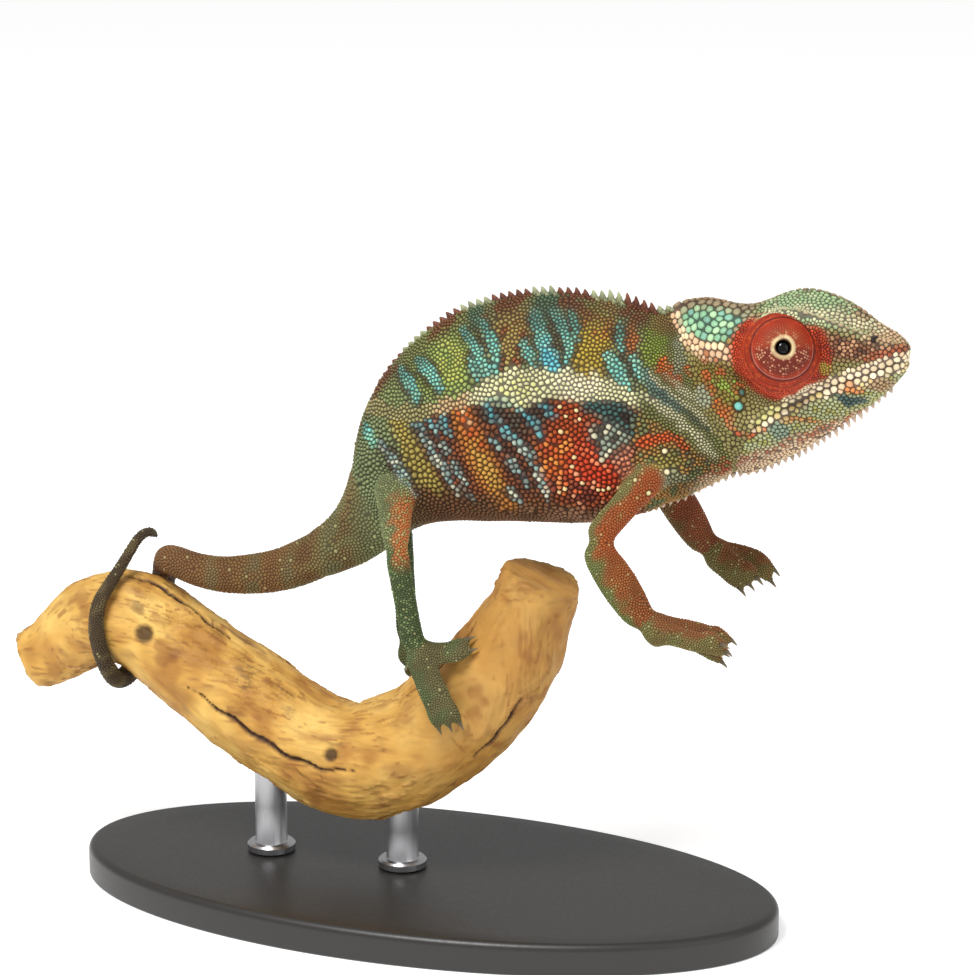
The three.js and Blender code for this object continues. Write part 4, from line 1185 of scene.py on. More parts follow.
# %% Limbs and tail
def paint_limbs(colour, points, normals, labels, dice):
    z = side_view(points)[1]
    blotch = noise(points, 2.4, 41)
    front = ramp(normals[:, 0] + 0.25 * blotch, -0.45, 0.35)
    arm = labelled(labels, ARMS)
    hand = labelled(labels, ["hand_right", "hand_left"])
    far = labelled(labels, ARMS[3:])
    leg = labelled(labels, LEGS)
    thigh = labelled(labels, ["thigh_right", "thigh_left"])
    foot = labelled(labels, ["foot_right", "foot_left"])
    knee = leg * ramp(z, -22.5, -18) * ramp(z, -10.5, -13.5)
    return laid(colour, [
        ((116, 112, 70), arm),
        ((156, 78, 36), arm * front * 0.95),
        ((136, 82, 42), arm * front * ramp(z, -14, -20) * 0.8),
        ((98, 116, 66), arm * (1 - front) * ramp(z, -13, -18) * 0.7),
        # painted shade: the far arm darker than the near one
        ((112, 60, 40), arm * far * 0.6),
        ((112, 108, 66), hand * 0.85),
        ((132, 76, 46), hand * ramp(normals[:, 2] + 0.3 * blotch, 0, 0.7) * 0.8),
        ((158, 166, 124), arm * (dice > 0.96) * (1 - 0.7 * front) * 0.6),
        ((72, 92, 60), leg),
        ((104, 112, 80), thigh),
        ((184, 106, 58), knee * front * 0.85),
        ((134, 154, 108), leg * (dice > 0.8) * 0.6),
        ((92, 104, 70), foot * 0.75),
        ((136, 92, 70), foot * front * 0.25),
    ])


def paint_tail(colour, points, labels):
    on = Side(points)
    x = on.x
    tail = labelled(labels, TAIL)
    blotch = noise(points, 3, 51)
    band = np.sin(x * 0.95 + 0.5 * blotch)
    coil = labelled(labels, TAIL[3:])
    return laid(colour, [
        ((106, 106, 72), tail),
        ((116, 80, 44), tail * ramp(x, -22, -38) * 0.8),
        ((104, 70, 44), tail * ramp(band + 0.8 * blotch, 0, 1.2) * ramp(x, -18, -28) * 0.6),
        ((98, 108, 84), tail * ramp(band + 0.5 * blotch, -0.3, -1.2) * 0.4),
        ((156, 150, 108), tail * on.oval(-19.5, -8, 3.5, 2.5) * 0.5),
        ((114, 80, 52), tail * ramp(x, -44, -56) * 0.8),
        ((70, 60, 44), coil),
        ((102, 92, 64), coil * ramp(blotch, 0.1, 0.8) * 0.7),
    ])


# %% All markings
on_limb = labelled(skin_label, [*ARMS, *LEGS])[:, None] * 1.0
limb_share = ramp(averaged(on_limb, skin_quads, rounds=60), 0.45, 0.85)


def markings(points, normals, corners, dice):
    """The colour of a scale at each point, with its nearest corner of the skin. dice is a number from 0 to 1
    for each, which picks odd ones out."""
    labels = skin_label[corners]
    body = plain((112, 126, 94), len(points))
    for paint in (paint_upper_flank, paint_lower_flank, paint_shoulder, paint_belly_and_stripe, paint_neck):
        body = paint(body, points, dice)
    rump = plain((112, 128, 106), len(points))
    fade = ramp(side_view(points)[0], -17, -23)[:, None]
    tail = labelled(labels, TAIL)[:, None]
    body = np.where(tail, paint_tail(rump, points, labels) * fade + body * (1 - fade), body)
    body += (paint_limbs(body, points, normals, labels, dice) - body) * limb_share[corners]
    head = labelled(labels, HEAD) | (red_lid(points) > 0)
    return np.where(head[:, None], paint_head(body, points, labels, dice), body)


def set_tint(thing, colours):
    """Stores a colour for each point of a mesh, which its material then reads."""
    layer = thing.data.color_attributes.new("tint", "FLOAT_COLOR", "POINT")
    layer.data.foreach_set("color", np.hstack([colours, np.ones((len(colours), 1))]).ravel())


GROUND = linear((70, 40, 28))
seen = markings(skin_points, skin_normals, np.arange(len(skin_points)), np.full(len(skin_points), 0.5))
darker = np.where(labelled(skin_label, SLENDER)[:, None], 0.42, 0.22)
between_scales = averaged(seen, skin_quads, rounds=3) * darker + GROUND * 0.3
set_tint(skin, between_scales)
print("skin colour, mean:", np.round(between_scales.mean(0), 3))

# %% [markdown]
# ## Raising the scales
#
# Every scale fills the room between its neighbours. In each of eight directions it reaches half way to the
# nearest root there, less a narrow groove, and its corners are rounded off. Over that outline stand rings
# that rise to a dome, or to a low flat top for the casque's plates. The lowest ring sinks into the skin, so
# no gap shows from the side.

# %% Where each scale stands
all_near, all_gap = neighbours(roots)
kept = np.flatnonzero(keep)
root_normal = unit(averaged(skin_normals, skin_quads)[root_corner])
root_grain = flattened(skin_grain[root_corner], root_normal)
root_side = np.cross(root_normal, root_grain)
root_label = skin_label[root_corner]
root_size = all_gap[:, :6].mean(1)
root_map = skin_map[root_face].mean(1)
odd = dice.random(len(roots))
print("scales from", round(root_size[kept].min(), 2), "to", round(root_size[kept].max(), 2), "mm across")


# %% Outlines
DIRECTIONS = 8
TURNS = np.linspace(0, math.tau, DIRECTIONS, endpoint=False) + math.tau / 16
GROOVE, LEAST_REACH = 0.035, 0.12  # mm, half the gap between two scales, and the least that one reaches out


def outlines(which):
    """How far the scales reach in each direction."""
    away = roots[all_near[which]] - roots[which][:, None]
    u = (away * root_grain[which][:, None]).sum(2)
    v = (away * root_side[which][:, None]).sum(2)
    toward = u[:, :, None] * np.cos(TURNS) + v[:, :, None] * np.sin(TURNS)
    share = 0.5 + 0.07 * (big[which][:, None].astype(float) - big[all_near[which]])
    half_way = (u * u + v * v)[:, :, None] * share[:, :, None] / np.maximum(toward, 1e-3)
    reach = np.where(toward > 1e-3, half_way, 9).min(1)
    room = 0.64 * root_size[which][:, None]
    rows = 0.05 * np.abs(np.sin(TURNS)) * labelled(root_label[which], ["trunk", "neck"])[:, None]
    return np.maximum((reach**-7 + room**-7) ** (-1 / 7) - GROOVE - rows, LEAST_REACH)


# %% Domes
BEAD = [(1.0, -0.3), (0.9, 0.3), (0.6, 0.82)]  # (share of the outline, share of the height) of each ring
PLATE = [(1.0, -0.4), (0.92, 0.62), (0.72, 0.92)]


def relief(labels, points, sizes):
    """How high scales stand, and how flat their tops are from 0 to 1."""
    x, z = side_view(points)
    over, _ = over_stripe(x, z)
    height = 0.3 * sizes + 0.08 * sizes * ramp(over, 0, -3) * ramp(z, -14, -11)
    height = np.where(labelled(labels, SLENDER), 0.26 * sizes, height)
    head = labelled(labels, HEAD)
    flat = head * np.maximum(0.45, ramp(z, 12.0, 13.2) * ramp(x, 40.5, 38.5))
    height = np.where(head, 0.2 * sizes, height)
    return np.minimum(height, 0.36), flat


def scale_points(which):
    """The points of the chosen scales: three rings and a top for each."""
    reach = outlines(which)
    height, flat = relief(root_label[which], roots[which], root_size[which])
    standing = np.isin(which, np.arange(len(fixed) - len(lone), len(fixed)))
    height = height * np.where(big[which], 1.35, 1.0) * np.where(standing, 1.6, 1.0)
    each = (values[which][:, None] for values in (roots, root_grain, root_side, root_normal))
    root, grain, side, upward = each
    outward = (grain * np.cos(TURNS)[:, None] + side * np.sin(TURNS)[:, None]) * reach[:, :, None]
    rings = []
    for bead, plate in zip(BEAD, PLATE):
        out, up = ((a + (b - a) * flat)[:, None, None] for a, b in zip(bead, plate))
        rings.append(root + outward * out + upward * up * height[:, None, None])
    return np.concatenate([*rings, root + upward * height[:, None, None]], 1)


def ring_faces(rings, around):
    """Quads between rings of points."""
    i, j = np.meshgrid(np.arange(rings - 1), np.arange(around), indexing="ij")
    after = (j + 1) % around
    faces = np.stack([i * around + j, (i + 1) * around + j, (i + 1) * around + after, i * around + after], -1)
    return faces.reshape(-1, 4)


def tipped_faces(rings, around, turned=0):
    """Triangles between rings of points, and from the last ring to one more point, the tip. turned is 1 to
    cut each quad the other way."""
    quads = np.roll(ring_faces(rings, around), -turned, axis=1)
    last = np.arange(around) + (rings - 1) * around
    cap = np.stack([last, np.full(around, rings * around), np.roll(last, -1)], 1)
    return np.concatenate([quads[:, [0, 1, 2]], quads[:, [0, 2, 3]], cap])[:, ::-1]


def many(faces, points, count):
    """The faces of many copies of a shape that has so many points."""
    return (faces + (np.arange(count) * points)[:, None, None]).reshape(-1, 3)


RING_SHADE_AND_HIGHLIGHT = np.r_[np.repeat([0.35, 0.8, 1.02], DIRECTIONS), 1.1]  # painted shade: darker in the groove; painted highlight: lighter on top
MAP_PATCH = 0.0015  # half of a scale's patch on the map


def coat_piece(name, which):
    """One mesh of many scales, each with its colour and its own small patch of the map."""
    points = scale_points(which)
    faces = many(tipped_faces(len(BEAD), DIRECTIONS), points.shape[1], len(which))
    piece = mesh_object(name, points.reshape(-1, 3), faces)
    slender = labelled(root_label[which], SLENDER)[:, None]
    # each scale's rings carry painted shade at the foot and a painted highlight at the top
    colour = root_colour[which][:, None] * np.where(slender, RING_SHADE_AND_HIGHLIGHT**0.5, RING_SHADE_AND_HIGHLIGHT)[:, :, None]
    set_tint(piece, colour.reshape(-1, 3))
    circle = np.stack([np.cos(TURNS), np.sin(TURNS)], 1) * MAP_PATCH
    spots = np.concatenate([*(circle * share for share, _ in BEAD), [[0, 0]]])
    places = (root_map[which][:, None] + spots[None]).reshape(-1, 2)
    piece.data.uv_layers.new(name="OFBake").uv.foreach_set("vector", places[faces.ravel()].ravel())
    print(name, len(which), "scales,", len(faces), "triangles")
    return piece


# %% The colour of each scale
WARMTH = (1.12, 1.07, 0.86)  # shares of red, green and blue light
root_colour = markings(roots, root_normal, root_corner, odd)
light_dark = 1 + 0.16 * (dice.random(len(roots)) - 0.5) + 0.1 * noise(roots, 4.0, 61)
root_colour = root_colour * light_dark[:, None]
pale = (big & labelled(root_label, SLENDER))[:, None]
root_colour = np.where(pale, root_colour * 0.75 + linear((196, 196, 150)) * 0.25, root_colour)
on_ridge = slice(len(lips), len(lips) + len(ridges))
root_colour[on_ridge] = root_colour[on_ridge] * 0.45 + linear((146, 116, 92)) * 0.55
root_colour[len(fixed) - len(lone):len(fixed)] = [linear(colour) for _ in SIDES for _, _, colour in TUBERCLES]
root_colour = np.clip(root_colour * WARMTH, 0.004, 0.92)

# %% The pieces of the coat
REGIONS = {
    "face_scales": (HEAD, "head_skin"),
    "neck_scales": (["neck"], "body_skin"),
    "flank_scales": (["trunk"], "body_skin"),
    "tail_scales": (TAIL, "tail_skin"),
    "arm_scales": (ARMS, "limb_skin"),
    "leg_scales": (LEGS, "limb_skin"),
}
MOST = 4800  # scales in one piece, which keeps it under 200,000 triangles
coat = {}
for name, (nodes, kind) in REGIONS.items():
    here = kept[labelled(root_label[kept], nodes)]
    for side, part in zip(SIDES, (here[roots[here, 1] < 0], here[roots[here, 1] >= 0])):
        part = part[roots[part, 0].argsort()]
        for i, length in enumerate(np.array_split(part, -(-len(part) // MOST))):
            coat[coat_piece(f"{name}_{side}_{i + 1}", length)] = (nodes, kind)
print("coat:", sum(len(piece.data.polygons) for piece in coat), "triangles")

# %% [markdown]
# ## Eye turrets
#
# A chameleon's lids are joined into one cone with a hole the size of the pupil, and the cone turns with the
# eye. Its skin is much finer than the rest: beads near the hole, then tight rings. It is one turned shape,
# with a row of points for every fifth of a ring, and each point is lifted by the bead or ring it is part of.


# %% Turning a shape round the gaze
def square_to(way):
    """Two directions square to a given one: the first as level as can be, the second upwards."""
    level = unit(np.cross([0, 0, 1.0], way))
    return level, np.cross(way, level)


def turned(eye, centre, angles, radii, around):
    """Points on rings round an eye's gaze. angles and radii may differ all round."""
    level, up = square_to(eye["gaze"])
    turn = np.linspace(0, math.tau, around, endpoint=False)
    spoke = np.cos(turn)[:, None] * level + np.sin(turn)[:, None] * up
    out = (radii * np.sin(angles))[..., None] * spoke
    return centre + out + (radii * np.cos(angles))[..., None] * eye["gaze"]


# %% The turrets
RINGS, AROUND = 110, 330
RING_WIDE, BEAD_WIDE = 0.42, 0.37  # mm
OPENING = 1.12  # mm, the hole's half width
PALE_LID, TURRET_RED, TURRET_GROOVE_SHADE = (206, 184, 138), (158, 47, 18), (50, 14, 8)


def bump_row(t):
    """A rounded bump over each whole step of t."""
    return 1 - np.abs(2 * (t - np.floor(t)) - 1) ** 2.4


def turret(side):
    eye = EYES[side]
    start = math.asin(OPENING / eye["radius"])
    angle = np.linspace(start, math.radians(LID_ANGLE + 24), RINGS)[:, None]
    turn = np.linspace(0, 1, AROUND, endpoint=False)[None, :]
    along = angle * eye["radius"] + 0.05 * np.sin(turn * math.tau * 3 + 1)
    ring = np.floor(along / RING_WIDE)
    row = bump_row(along / RING_WIDE)
    place = turn * np.round(math.tau * eye["radius"] * np.sin(ring * RING_WIDE / eye["radius"]) / BEAD_WIDE)
    place = place + 0.37 * ring
    outer = ramp(along, 4.3, 5.1)
    lift = row * (bump_row(place) * (1 - outer) + outer)
    rim = ramp(along, OPENING + 0.55, OPENING + 0.1)
    height = (0.075 + 0.035 * outer) * lift * (1 - rim) * ramp(along, 8.6, 7.2)
    sunk = 0.55 * ramp(angle, math.radians(LID_ANGLE - 4), math.radians(LID_ANGLE + 16))
    lip = 0.12 * np.exp(-(((along - OPENING - 0.28) / 0.26) ** 2))
    lip = lip - 0.3 * ramp(along, OPENING + 0.12, OPENING - 0.02)
    points = turned(eye, eye["centre"], angle, eye["radius"] + height + lip - sunk, AROUND)

    flat = points.reshape(-1, 3)
    flecks = np.random.default_rng(5).random((RINGS * 3, AROUND))
    fleck = flecks[ring.astype(int), np.floor(place).astype(int) % AROUND].ravel()
    s, r, u, outer = (np.broadcast_to(v, (RINGS, AROUND)).ravel() for v in (along, lift, turn, outer))
    below = ramp(np.sin(u * math.tau), 0.35, -0.25)
    colour = laid(plain(TURRET_RED, len(flat)), [
        ((112, 40, 24), ramp(s, 4.9, 3.6) * below),
        ((146, 66, 36), ramp(s, 4.4, 2.4) * (1 - below) * 0.8),
        ((206, 148, 112), ramp(s, 4.7, 3.9) * below * ramp(fleck, 0.4, 0.9) * ramp(r, 0.35, 0.8) * 0.85),
        ((180, 118, 80), ramp(s, 3.2, 1.9) * (1 - below) * (fleck > 0.6) * 0.8),
        ((196, 84, 36), (fleck > 0.75) * outer * 0.5),
        # painted highlight: a thin pale line round the lower half, inside the dark ring
        ((156, 120, 112), np.exp(-(((s - 4.85) / 0.12) ** 2)) * below * 0.5),
        ((64, 18, 12), np.exp(-(((s - 5.15) / 0.16) ** 2)) * 0.85),
        ((74, 20, 12), np.exp(-(((s - 6.5) / 0.14) ** 2)) * 0.6),
        # painted shade: the grooves between the beads and rings darkened where the lift is low
        (TURRET_GROOVE_SHADE, ramp(r, 0.5, 0.05) * (0.6 + 0.35 * outer) * ramp(s, 1.6, 2.0)),
        (PALE_LID, ramp(s, 1.95, 1.6) * (0.7 + 0.3 * (fleck > 0.4))),
        ((70, 40, 26), ramp(s, OPENING + 0.2, OPENING + 0.02)),
    ])
    piece = mesh_object(f"turret_{side}", flat, ring_faces(RINGS, AROUND))
    set_tint(piece, colour * (1 + 0.08 * noise(flat, 2.5, 71))[:, None])
    return piece


turrets = {side: turret(side) for side in SIDES}
print("turret faces:", len(turrets["right"].data.polygons))

# %% [markdown]
# ## Eyeballs
#
# Only the middle of the eye shows through the hole: a black pupil, a thin dark iris with gold in it, and a
# wet, clear surface. The eyeball is a full sphere with a slight bulge in front, as a real cornea has.


# %% The eyeballs
EYE_RINGS, EYE_AROUND = 60, 72


def eyeball(side):
    eye = EYES[side]
    low, high = box_of(f"eye_{side}")
    radius = (high - low).mean() / 2
    angle = np.linspace(0.01, math.pi - 0.01, EYE_RINGS)[:, None]
    bulge = 1 + 0.05 * np.exp(-((angle / 0.45) ** 2))
    radii = radius * bulge * np.ones((1, EYE_AROUND))
    points = turned(eye, eye["ball"], angle, radii, EYE_AROUND).reshape(-1, 3)
    off = np.repeat(angle.ravel(), EYE_AROUND) * radius
    piece = mesh_object(f"eyeball_{side}", points, ring_faces(EYE_RINGS, EYE_AROUND))
    gold = ramp(off, 1.02, 1.12) * ramp(off, 1.5, 1.3) * (0.5 + 0.3 * noise(points, 0.5, 73))
    pupil = ramp(off, 1.08, 1.0)
    set_tint(piece, laid(plain((30, 20, 14), len(points)), [((112, 74, 34), gold), ((3, 3, 4), pupil)]))
    return piece


eyeballs = {side: eyeball(side) for side in SIDES}

# %% [markdown]
# ## Crests of spines
#
# A row of cone-shaped scales stands along the back, another under the chin and throat. Each cone leans back
# a little, is flattened from side to side and ends in a blunt tip. The rows follow the ridge of the finished
# skin, which is found by looking down on it, or up at it.

# %% One spine
SPINE_RINGS = [(1.0, -0.25), (0.92, 0.12), (0.66, 0.5), (0.36, 0.82), (0.14, 0.97)]  # (width, height)
SPINE_SIDES = 9


def spine(base, up, along, height, length, width, lean):
    """The points of a spine: rings from its foot to its tip, then the tip."""
    turn = np.linspace(0, math.tau, SPINE_SIDES, endpoint=False)[:, None]
    oval = (np.cos(turn) * along * length + np.sin(turn) * np.cross(up, along) * width) / 2
    rings = [
        base + up * height * high + along * lean * height * max(high, 0) ** 1.6 + oval * wide
        for wide, high in SPINE_RINGS
    ]
    return np.concatenate([*rings, [base + up * height + along * lean * height]])


def crest(name, spines, colours):
    """One mesh of many spines, darker at the foot and paler at the tip: painted shade at the foot and a
    painted highlight at the tip.
    """
    points = np.concatenate([spine(*one) for one in spines])
    one = tipped_faces(len(SPINE_RINGS), SPINE_SIDES)
    piece = mesh_object(name, points, many(one, len(points) // len(spines), len(spines)))
    # painted shade at each spine's foot, painted highlight towards its tip
    shade = np.r_[np.repeat([0.4, 0.75, 1.0, 1.15, 1.25], SPINE_SIDES), 1.3]
    set_tint(piece, np.clip((np.asarray(colours)[:, None] * shade[None, :, None]).reshape(-1, 3), 0, 0.9))
    print(name, len(spines), "spines")
    return piece


# %% The row along the back
BACK_SPACING = 1.3  # mm
BACK_HEIGHT = [(-24, 0.3), (-16, 0.6), (-8, 0.95), (4, 1.15), (14, 1.25), (18, 1.75), (22, 1.3), (25, 0.8)]
spines, colours = [], []
line = BACK[(BACK[:, 0] - HEART[0] > -24) & (BACK[:, 0] - HEART[0] < 25.5)]
row = spaced(line, BACK_SPACING)
ways = unit(np.gradient(row, axis=0))
for i, (place, way) in enumerate(zip(row, ways)):
    up = np.cross(way, [0, -1.0, 0])
    up = up if up[2] > 0 else -up
    x = place[0] - HEART[0]
    height = np.interp(x, *zip(*BACK_HEIGHT)) * dice.uniform(0.85, 1.12)
    rusty = math.sin(x * 0.62 + 1.2) > -0.15
    colour = linear((102, 58, 40) if rusty else (138, 142, 108)) * dice.uniform(0.75, 1.2)
    spines.append((place, up, way, height, 1.25, 0.85, -0.28))
    colours.append(colour)
    for side in (-0.62, 0.62):
        low = place + way * BACK_SPACING / 2 + np.array([0, side, 0]) - up * 0.12
        spines.append((low, unit(up + np.array([0, side * 0.9, 0])), way, height * 0.42, 0.85, 0.65, -0.2))
        colours.append(colour * 0.9)
back_crest = crest("back_crest", spines, colours)

# %% The row under the chin and throat
THROAT_SPACING = 1.2
THROAT_HEIGHT = [(22, 0.35), (27, 0.7), (31, 0.5), (38, 0.75), (44, 1.05), (54, 1.05), (59, 0.7)]
low_skin = labelled(skin_label, ["jaw", "neck", "trunk"])
line = []
for x in np.arange(HEART[0] + 22, HEART[0] + 59.5, 0.5):
    slab = skin_points[low_skin & (np.abs(skin_points[:, 0] - x) < 0.3)]
    line.append(slab[slab[:, 2].argmin()])
row = spaced(smoothed_line(line, 10), THROAT_SPACING)
ways = unit(np.gradient(row, axis=0))
spines, colours = [], []
for place, way in zip(row, ways):
    up = unit(skin_normals[np.linalg.norm(skin_points - place, axis=1).argmin()])
    up = unit(up - (up @ way) * way)
    height = np.interp(place[0] - HEART[0], *zip(*THROAT_HEIGHT)) * dice.uniform(0.8, 1.2)
    spines.append((place, up, way, height, 0.95, 0.6, -0.3))
    colours.append(linear((196, 172, 152)) * dice.uniform(0.75, 1.1))
throat_crest = crest("throat_crest", spines, colours)

# %% [markdown]
# ## Claws
#
# Each toe ends in a small curved claw of horn, dark at the root and clear at the tip. The solids already
# have the right curve, so they only need rounding and a colour that runs along them.


# %% The claws
CLAW_SHARE = 0.92  # of the solid claw's size, kept at its tip, so that flesh covers the root


def claws():
    points, faces, colours, first = [], [], [], 0
    for claw in TOE_TIPS:
        shape, quads = rounded(claw, sharp=80)
        away = from_limb(claw, shape)
        tip = shape[away.argmax()]
        share = (away - away.min()) / np.ptp(away)
        points.append(tip + (shape - tip) * CLAW_SHARE)
        faces.append(quads + first)
        colours.append(laid(plain((46, 38, 28), len(shape)), [((132, 116, 86), share**1.3)]))
        first += len(shape)
    piece = mesh_object("claws", np.concatenate(points), np.concatenate(faces))
    set_tint(piece, np.concatenate(colours))
    return piece


claw_piece = claws()
print("claw faces:", len(claw_piece.data.polygons))

# %% [markdown]
# ## Driftwood
#
# Driftwood is worn smooth, but its grain still stands out where soft wood went first. The grain runs along
# the branch and flows round its bends. No straight texture can follow that, so the grain is drawn on the
# mesh itself: each point gets a random number, and the numbers are smeared again and again along the
# branch, until they form long streaks.

# %% The perch's surface
perch_points, perch_quads = rounded("perch", sharp=50, levels=3)
values, first = boxed(distance_grid(perch_points, perch_quads), perch_points)
wood_points, wood_quads = surface_of(blurred(values, 0.8), first, 0.1)
wood_normals = point_normals(wood_points, wood_quads)
print("wood:", len(wood_points), "points")


# %% Which way the grain runs
wood_axis = tube_axis(wood_normals, wood_quads, 160)
wood_axis *= np.sign(wood_axis[:, :1] + 0.3 * wood_axis[:, 2:])
wood_axis = unit(averaged(wood_axis, wood_quads, rounds=60))
wood_side = np.cross(wood_normals, wood_axis)
cut_end = ramp(np.abs((wood_normals * wood_axis).sum(1)), 0.6, 0.8)
print("cut ends:", int((cut_end > 0.5).sum()), "points")

# %% Averaging along the grain
start, stop = np.concatenate([wood_quads[:, [i, (i + 1) % 4]] for i in range(4)]).T  # the ends of each edge
swaying = unit(wood_axis + wood_side * 0.3 * noise(wood_points, 16.0, 83)[:, None])
step = unit(wood_points[stop] - wood_points[start])
along_grain = np.abs((step * swaying[start]).sum(1)) ** 10 + 1e-4  # how well each edge follows the grain


def gathered(values):
    """Each point's sum of a value over its neighbours, most of all over those along the grain."""
    count = len(wood_points)
    there = np.bincount(start, along_grain * values[stop], count)
    return there + np.bincount(stop, along_grain * values[start], count)


def smeared(values, rounds):
    """Values averaged along the grain over and over."""
    total = gathered(np.ones(len(values)))
    for _ in range(rounds):
        values = 0.5 * values + 0.5 * gathered(values) / total
    return (values - values.mean()) / values.std()


# %% The grain
wood_dice = np.random.default_rng(17)
fine_grain = smeared(wood_dice.normal(size=len(wood_points)), 14)
long_grain = smeared(wood_dice.normal(size=len(wood_points)), 260)
broad_grain = smeared(noise(wood_points, 3.0, 81), 60)

# %% The cracks
wood_tree = tree_of(wood_points)
wood_low, wood_high = wood_points.min(0), wood_points.max(0)
CRACKS = [  # (share of the way along, mm long, way round in radians)
    (0.12, 10, 0.4), (0.3, 26, 1.9), (0.36, 15, 5.2), (0.5, 34, 3.1), (0.55, 22, 1.2), (0.64, 12, 0.2),
    (0.7, 30, 4.4), (0.78, 18, 2.4), (0.84, 24, 0.9), (0.9, 14, 3.7), (0.93, 20, 5.4), (0.22, 18, 4.0),
]
CRACK_STEP = 0.3  # mm
CRACK_WIDE = 0.55  # mm at its middle


def outermost(share, half_width, way):
    """The wood's point that lies furthest out one way, at a share of its length."""
    middle = wood_low[0] + share * (wood_high[0] - wood_low[0])
    slab = wood_points[np.abs(wood_points[:, 0] - middle) < half_width]
    return slab[(slab @ way).argmax()]


def crack_line(start, length, phase):
    """Places on a crack that follows the grain both ways from a start, and how open it is there."""
    line = []
    steps = int(length / 2 / CRACK_STEP)
    for way in (-1, 1):
        here = np.array(start)
        for step in range(steps):
            i = wood_tree.find(here)[1]
            here = here + way * CRACK_STEP * wood_axis[i] + 0.07 * math.sin(step * 0.3 + phase) * wood_side[i]
            here = here - wood_normals[i] * ((here - wood_points[i]) @ wood_normals[i])
            line.append((*here, 1 - (step / steps) ** 2))
    return np.array(line)


def crack_mask():
    line = np.concatenate([
        crack_line(outermost(share, 0.8, np.array([0, math.cos(turn), math.sin(turn)])), length, turn * 3)
        for share, length, turn in CRACKS
    ])
    tree = tree_of(line[:, :3])
    found = [tree.find(p)[1:] for p in wood_points]
    open_to = CRACK_WIDE * line[[i for i, _ in found], 3]
    return ramp(np.array([gap for _, gap in found]) / np.maximum(open_to, 0.05), 1.0, 0.45) * (open_to > 0.1)


cracks = crack_mask() * (1 - cut_end)
split = smeared(noise(wood_points, 5.0, 91) + 0.3 * wood_dice.normal(size=len(wood_points)), 300)
print("cracked:", round(float((cracks > 0.5).mean() * 100), 1), "percent of the wood")

# %% The knots and the carving
worn = ramp(noise(wood_points, 14.0, 82), 0.0, 0.9)
KNOTS = [(0.28, 1.5), (0.62, 1.1)]  # (share of the way along, mm across)
knot = np.zeros(len(wood_points))
ripple = np.zeros(len(wood_points))
for share, size in KNOTS:
    away = np.linalg.norm(wood_points - outermost(share, 1.5, np.array([-0.25, -0.9, 0.35])), axis=1)
    knot = np.maximum(knot, ramp(away, size * 1.3, size * 0.7))
    ripple += np.sin(away * 5.0) * ramp(away, size * 3.5, size)
raised = 0.06 * fine_grain + 0.1 * broad_grain * (1 - 0.5 * worn) - 0.5 * cracks - 0.35 * knot
raised = raised + 0.05 * ripple
raised += 0.18 * noise(wood_points, 9.0, 84) - 0.12
wood_points = wood_points + wood_normals * (raised * (1 - 0.8 * cut_end))[:, None]

# %% The colour of the wood
cloud = noise(wood_points, 12.0, 85) + 0.5 * noise(wood_points, 4.0, 90) + 0.3 * broad_grain
stain = noise(wood_points, 8.0, 86) + 0.5 * noise(wood_points, 2.6, 87) + 0.35 * long_grain
front = (wood_points[:, 0] - wood_points[:, 0].min()) / np.ptp(wood_points[:, 0])
wood = laid(plain((204, 156, 76), len(wood_points)), [
    ((226, 184, 100), ramp(cloud, -0.4, 1.4) * 0.9),
    ((166, 114, 50), ramp(cloud, -0.1, -1.5) * 0.85),
    ((150, 98, 44), ramp(broad_grain, 0.5, 2.2) * 0.5),
    ((132, 82, 38), ramp(stain, 0.8, 1.9) * 0.6),
    ((116, 70, 32), ramp(fine_grain, 0.6, 2.4) * 0.6),
    ((128, 78, 34), ramp(np.abs(split + 0.8), 0.09, 0.02) * 0.6),
    ((88, 66, 42), ramp(noise(wood_points, 6.0, 88) + 0.3 * long_grain, 1.2, 1.9) * 0.5),
    ((150, 98, 44), ramp(front + 0.06 * cloud, 0.62, 0.95) * 0.55),
    # the cracks and knots near black: dark wood, and painted shade in their hollows
    ((52, 26, 10), np.maximum(cracks, knot * 0.9)),
])
rear = wood_points[:, 0] < wood_points[:, 0].mean()
for end in (rear, ~rear):
    middle = wood_points[(cut_end > 0.5) & end].mean(0)
    away = np.linalg.norm(wood_points - middle, axis=1) + 0.25 * noise(wood_points, 4.0, 89)
    rings = np.sin(away * 7.0 + 0.6 * np.sin(away * 2.1))
    wood = laid(wood, [
        ((190, 138, 76), cut_end * end),
        ((122, 74, 34), cut_end * end * ramp(rings, 0.0, 0.9) * 0.75),
        ((84, 48, 22), cut_end * end * ramp(away, 1.0, 0.3)),
    ])
perch = mesh_object("perch_wood", wood_points, wood_quads)
set_tint(perch, wood * (1 + 0.05 * fine_grain)[:, None].clip(0.8, 1.2))

# %% [markdown]
# ## The display stand
#
# The base is an oval slab with softened edges, sprayed satin black. Two brushed steel rods rise from small
# collars into the underside of the wood. All of it comes from the boxes of the solids.

# %% The base
def oval(half_x, half_y, z, count=160):
    turn = np.linspace(0, math.tau, count, endpoint=False)
    return np.stack([half_x * np.cos(turn), half_y * np.sin(turn), np.full(count, z)], 1)


def turned_stack(rings):
    """A closed solid from rings of points, the lowest first, that all have as many."""
    count = len(rings[0])
    middles = [rings[-1].mean(0), rings[0].mean(0)]
    ring = np.arange(count)
    foot = np.stack([np.roll(ring, -1), ring, np.full(count, len(rings) * count + 1)], 1)
    faces = np.concatenate([tipped_faces(len(rings), count, turned=1), foot])
    return np.concatenate([*rings, middles]), faces


def rounded_edge(radius, steps=7):
    """Places round a quarter circle: how far in from the side, and how far down from the top."""
    turn = np.linspace(0, math.pi / 2, steps)
    return [(radius * (1 - math.cos(t)), radius * (1 - math.sin(t))) for t in turn]


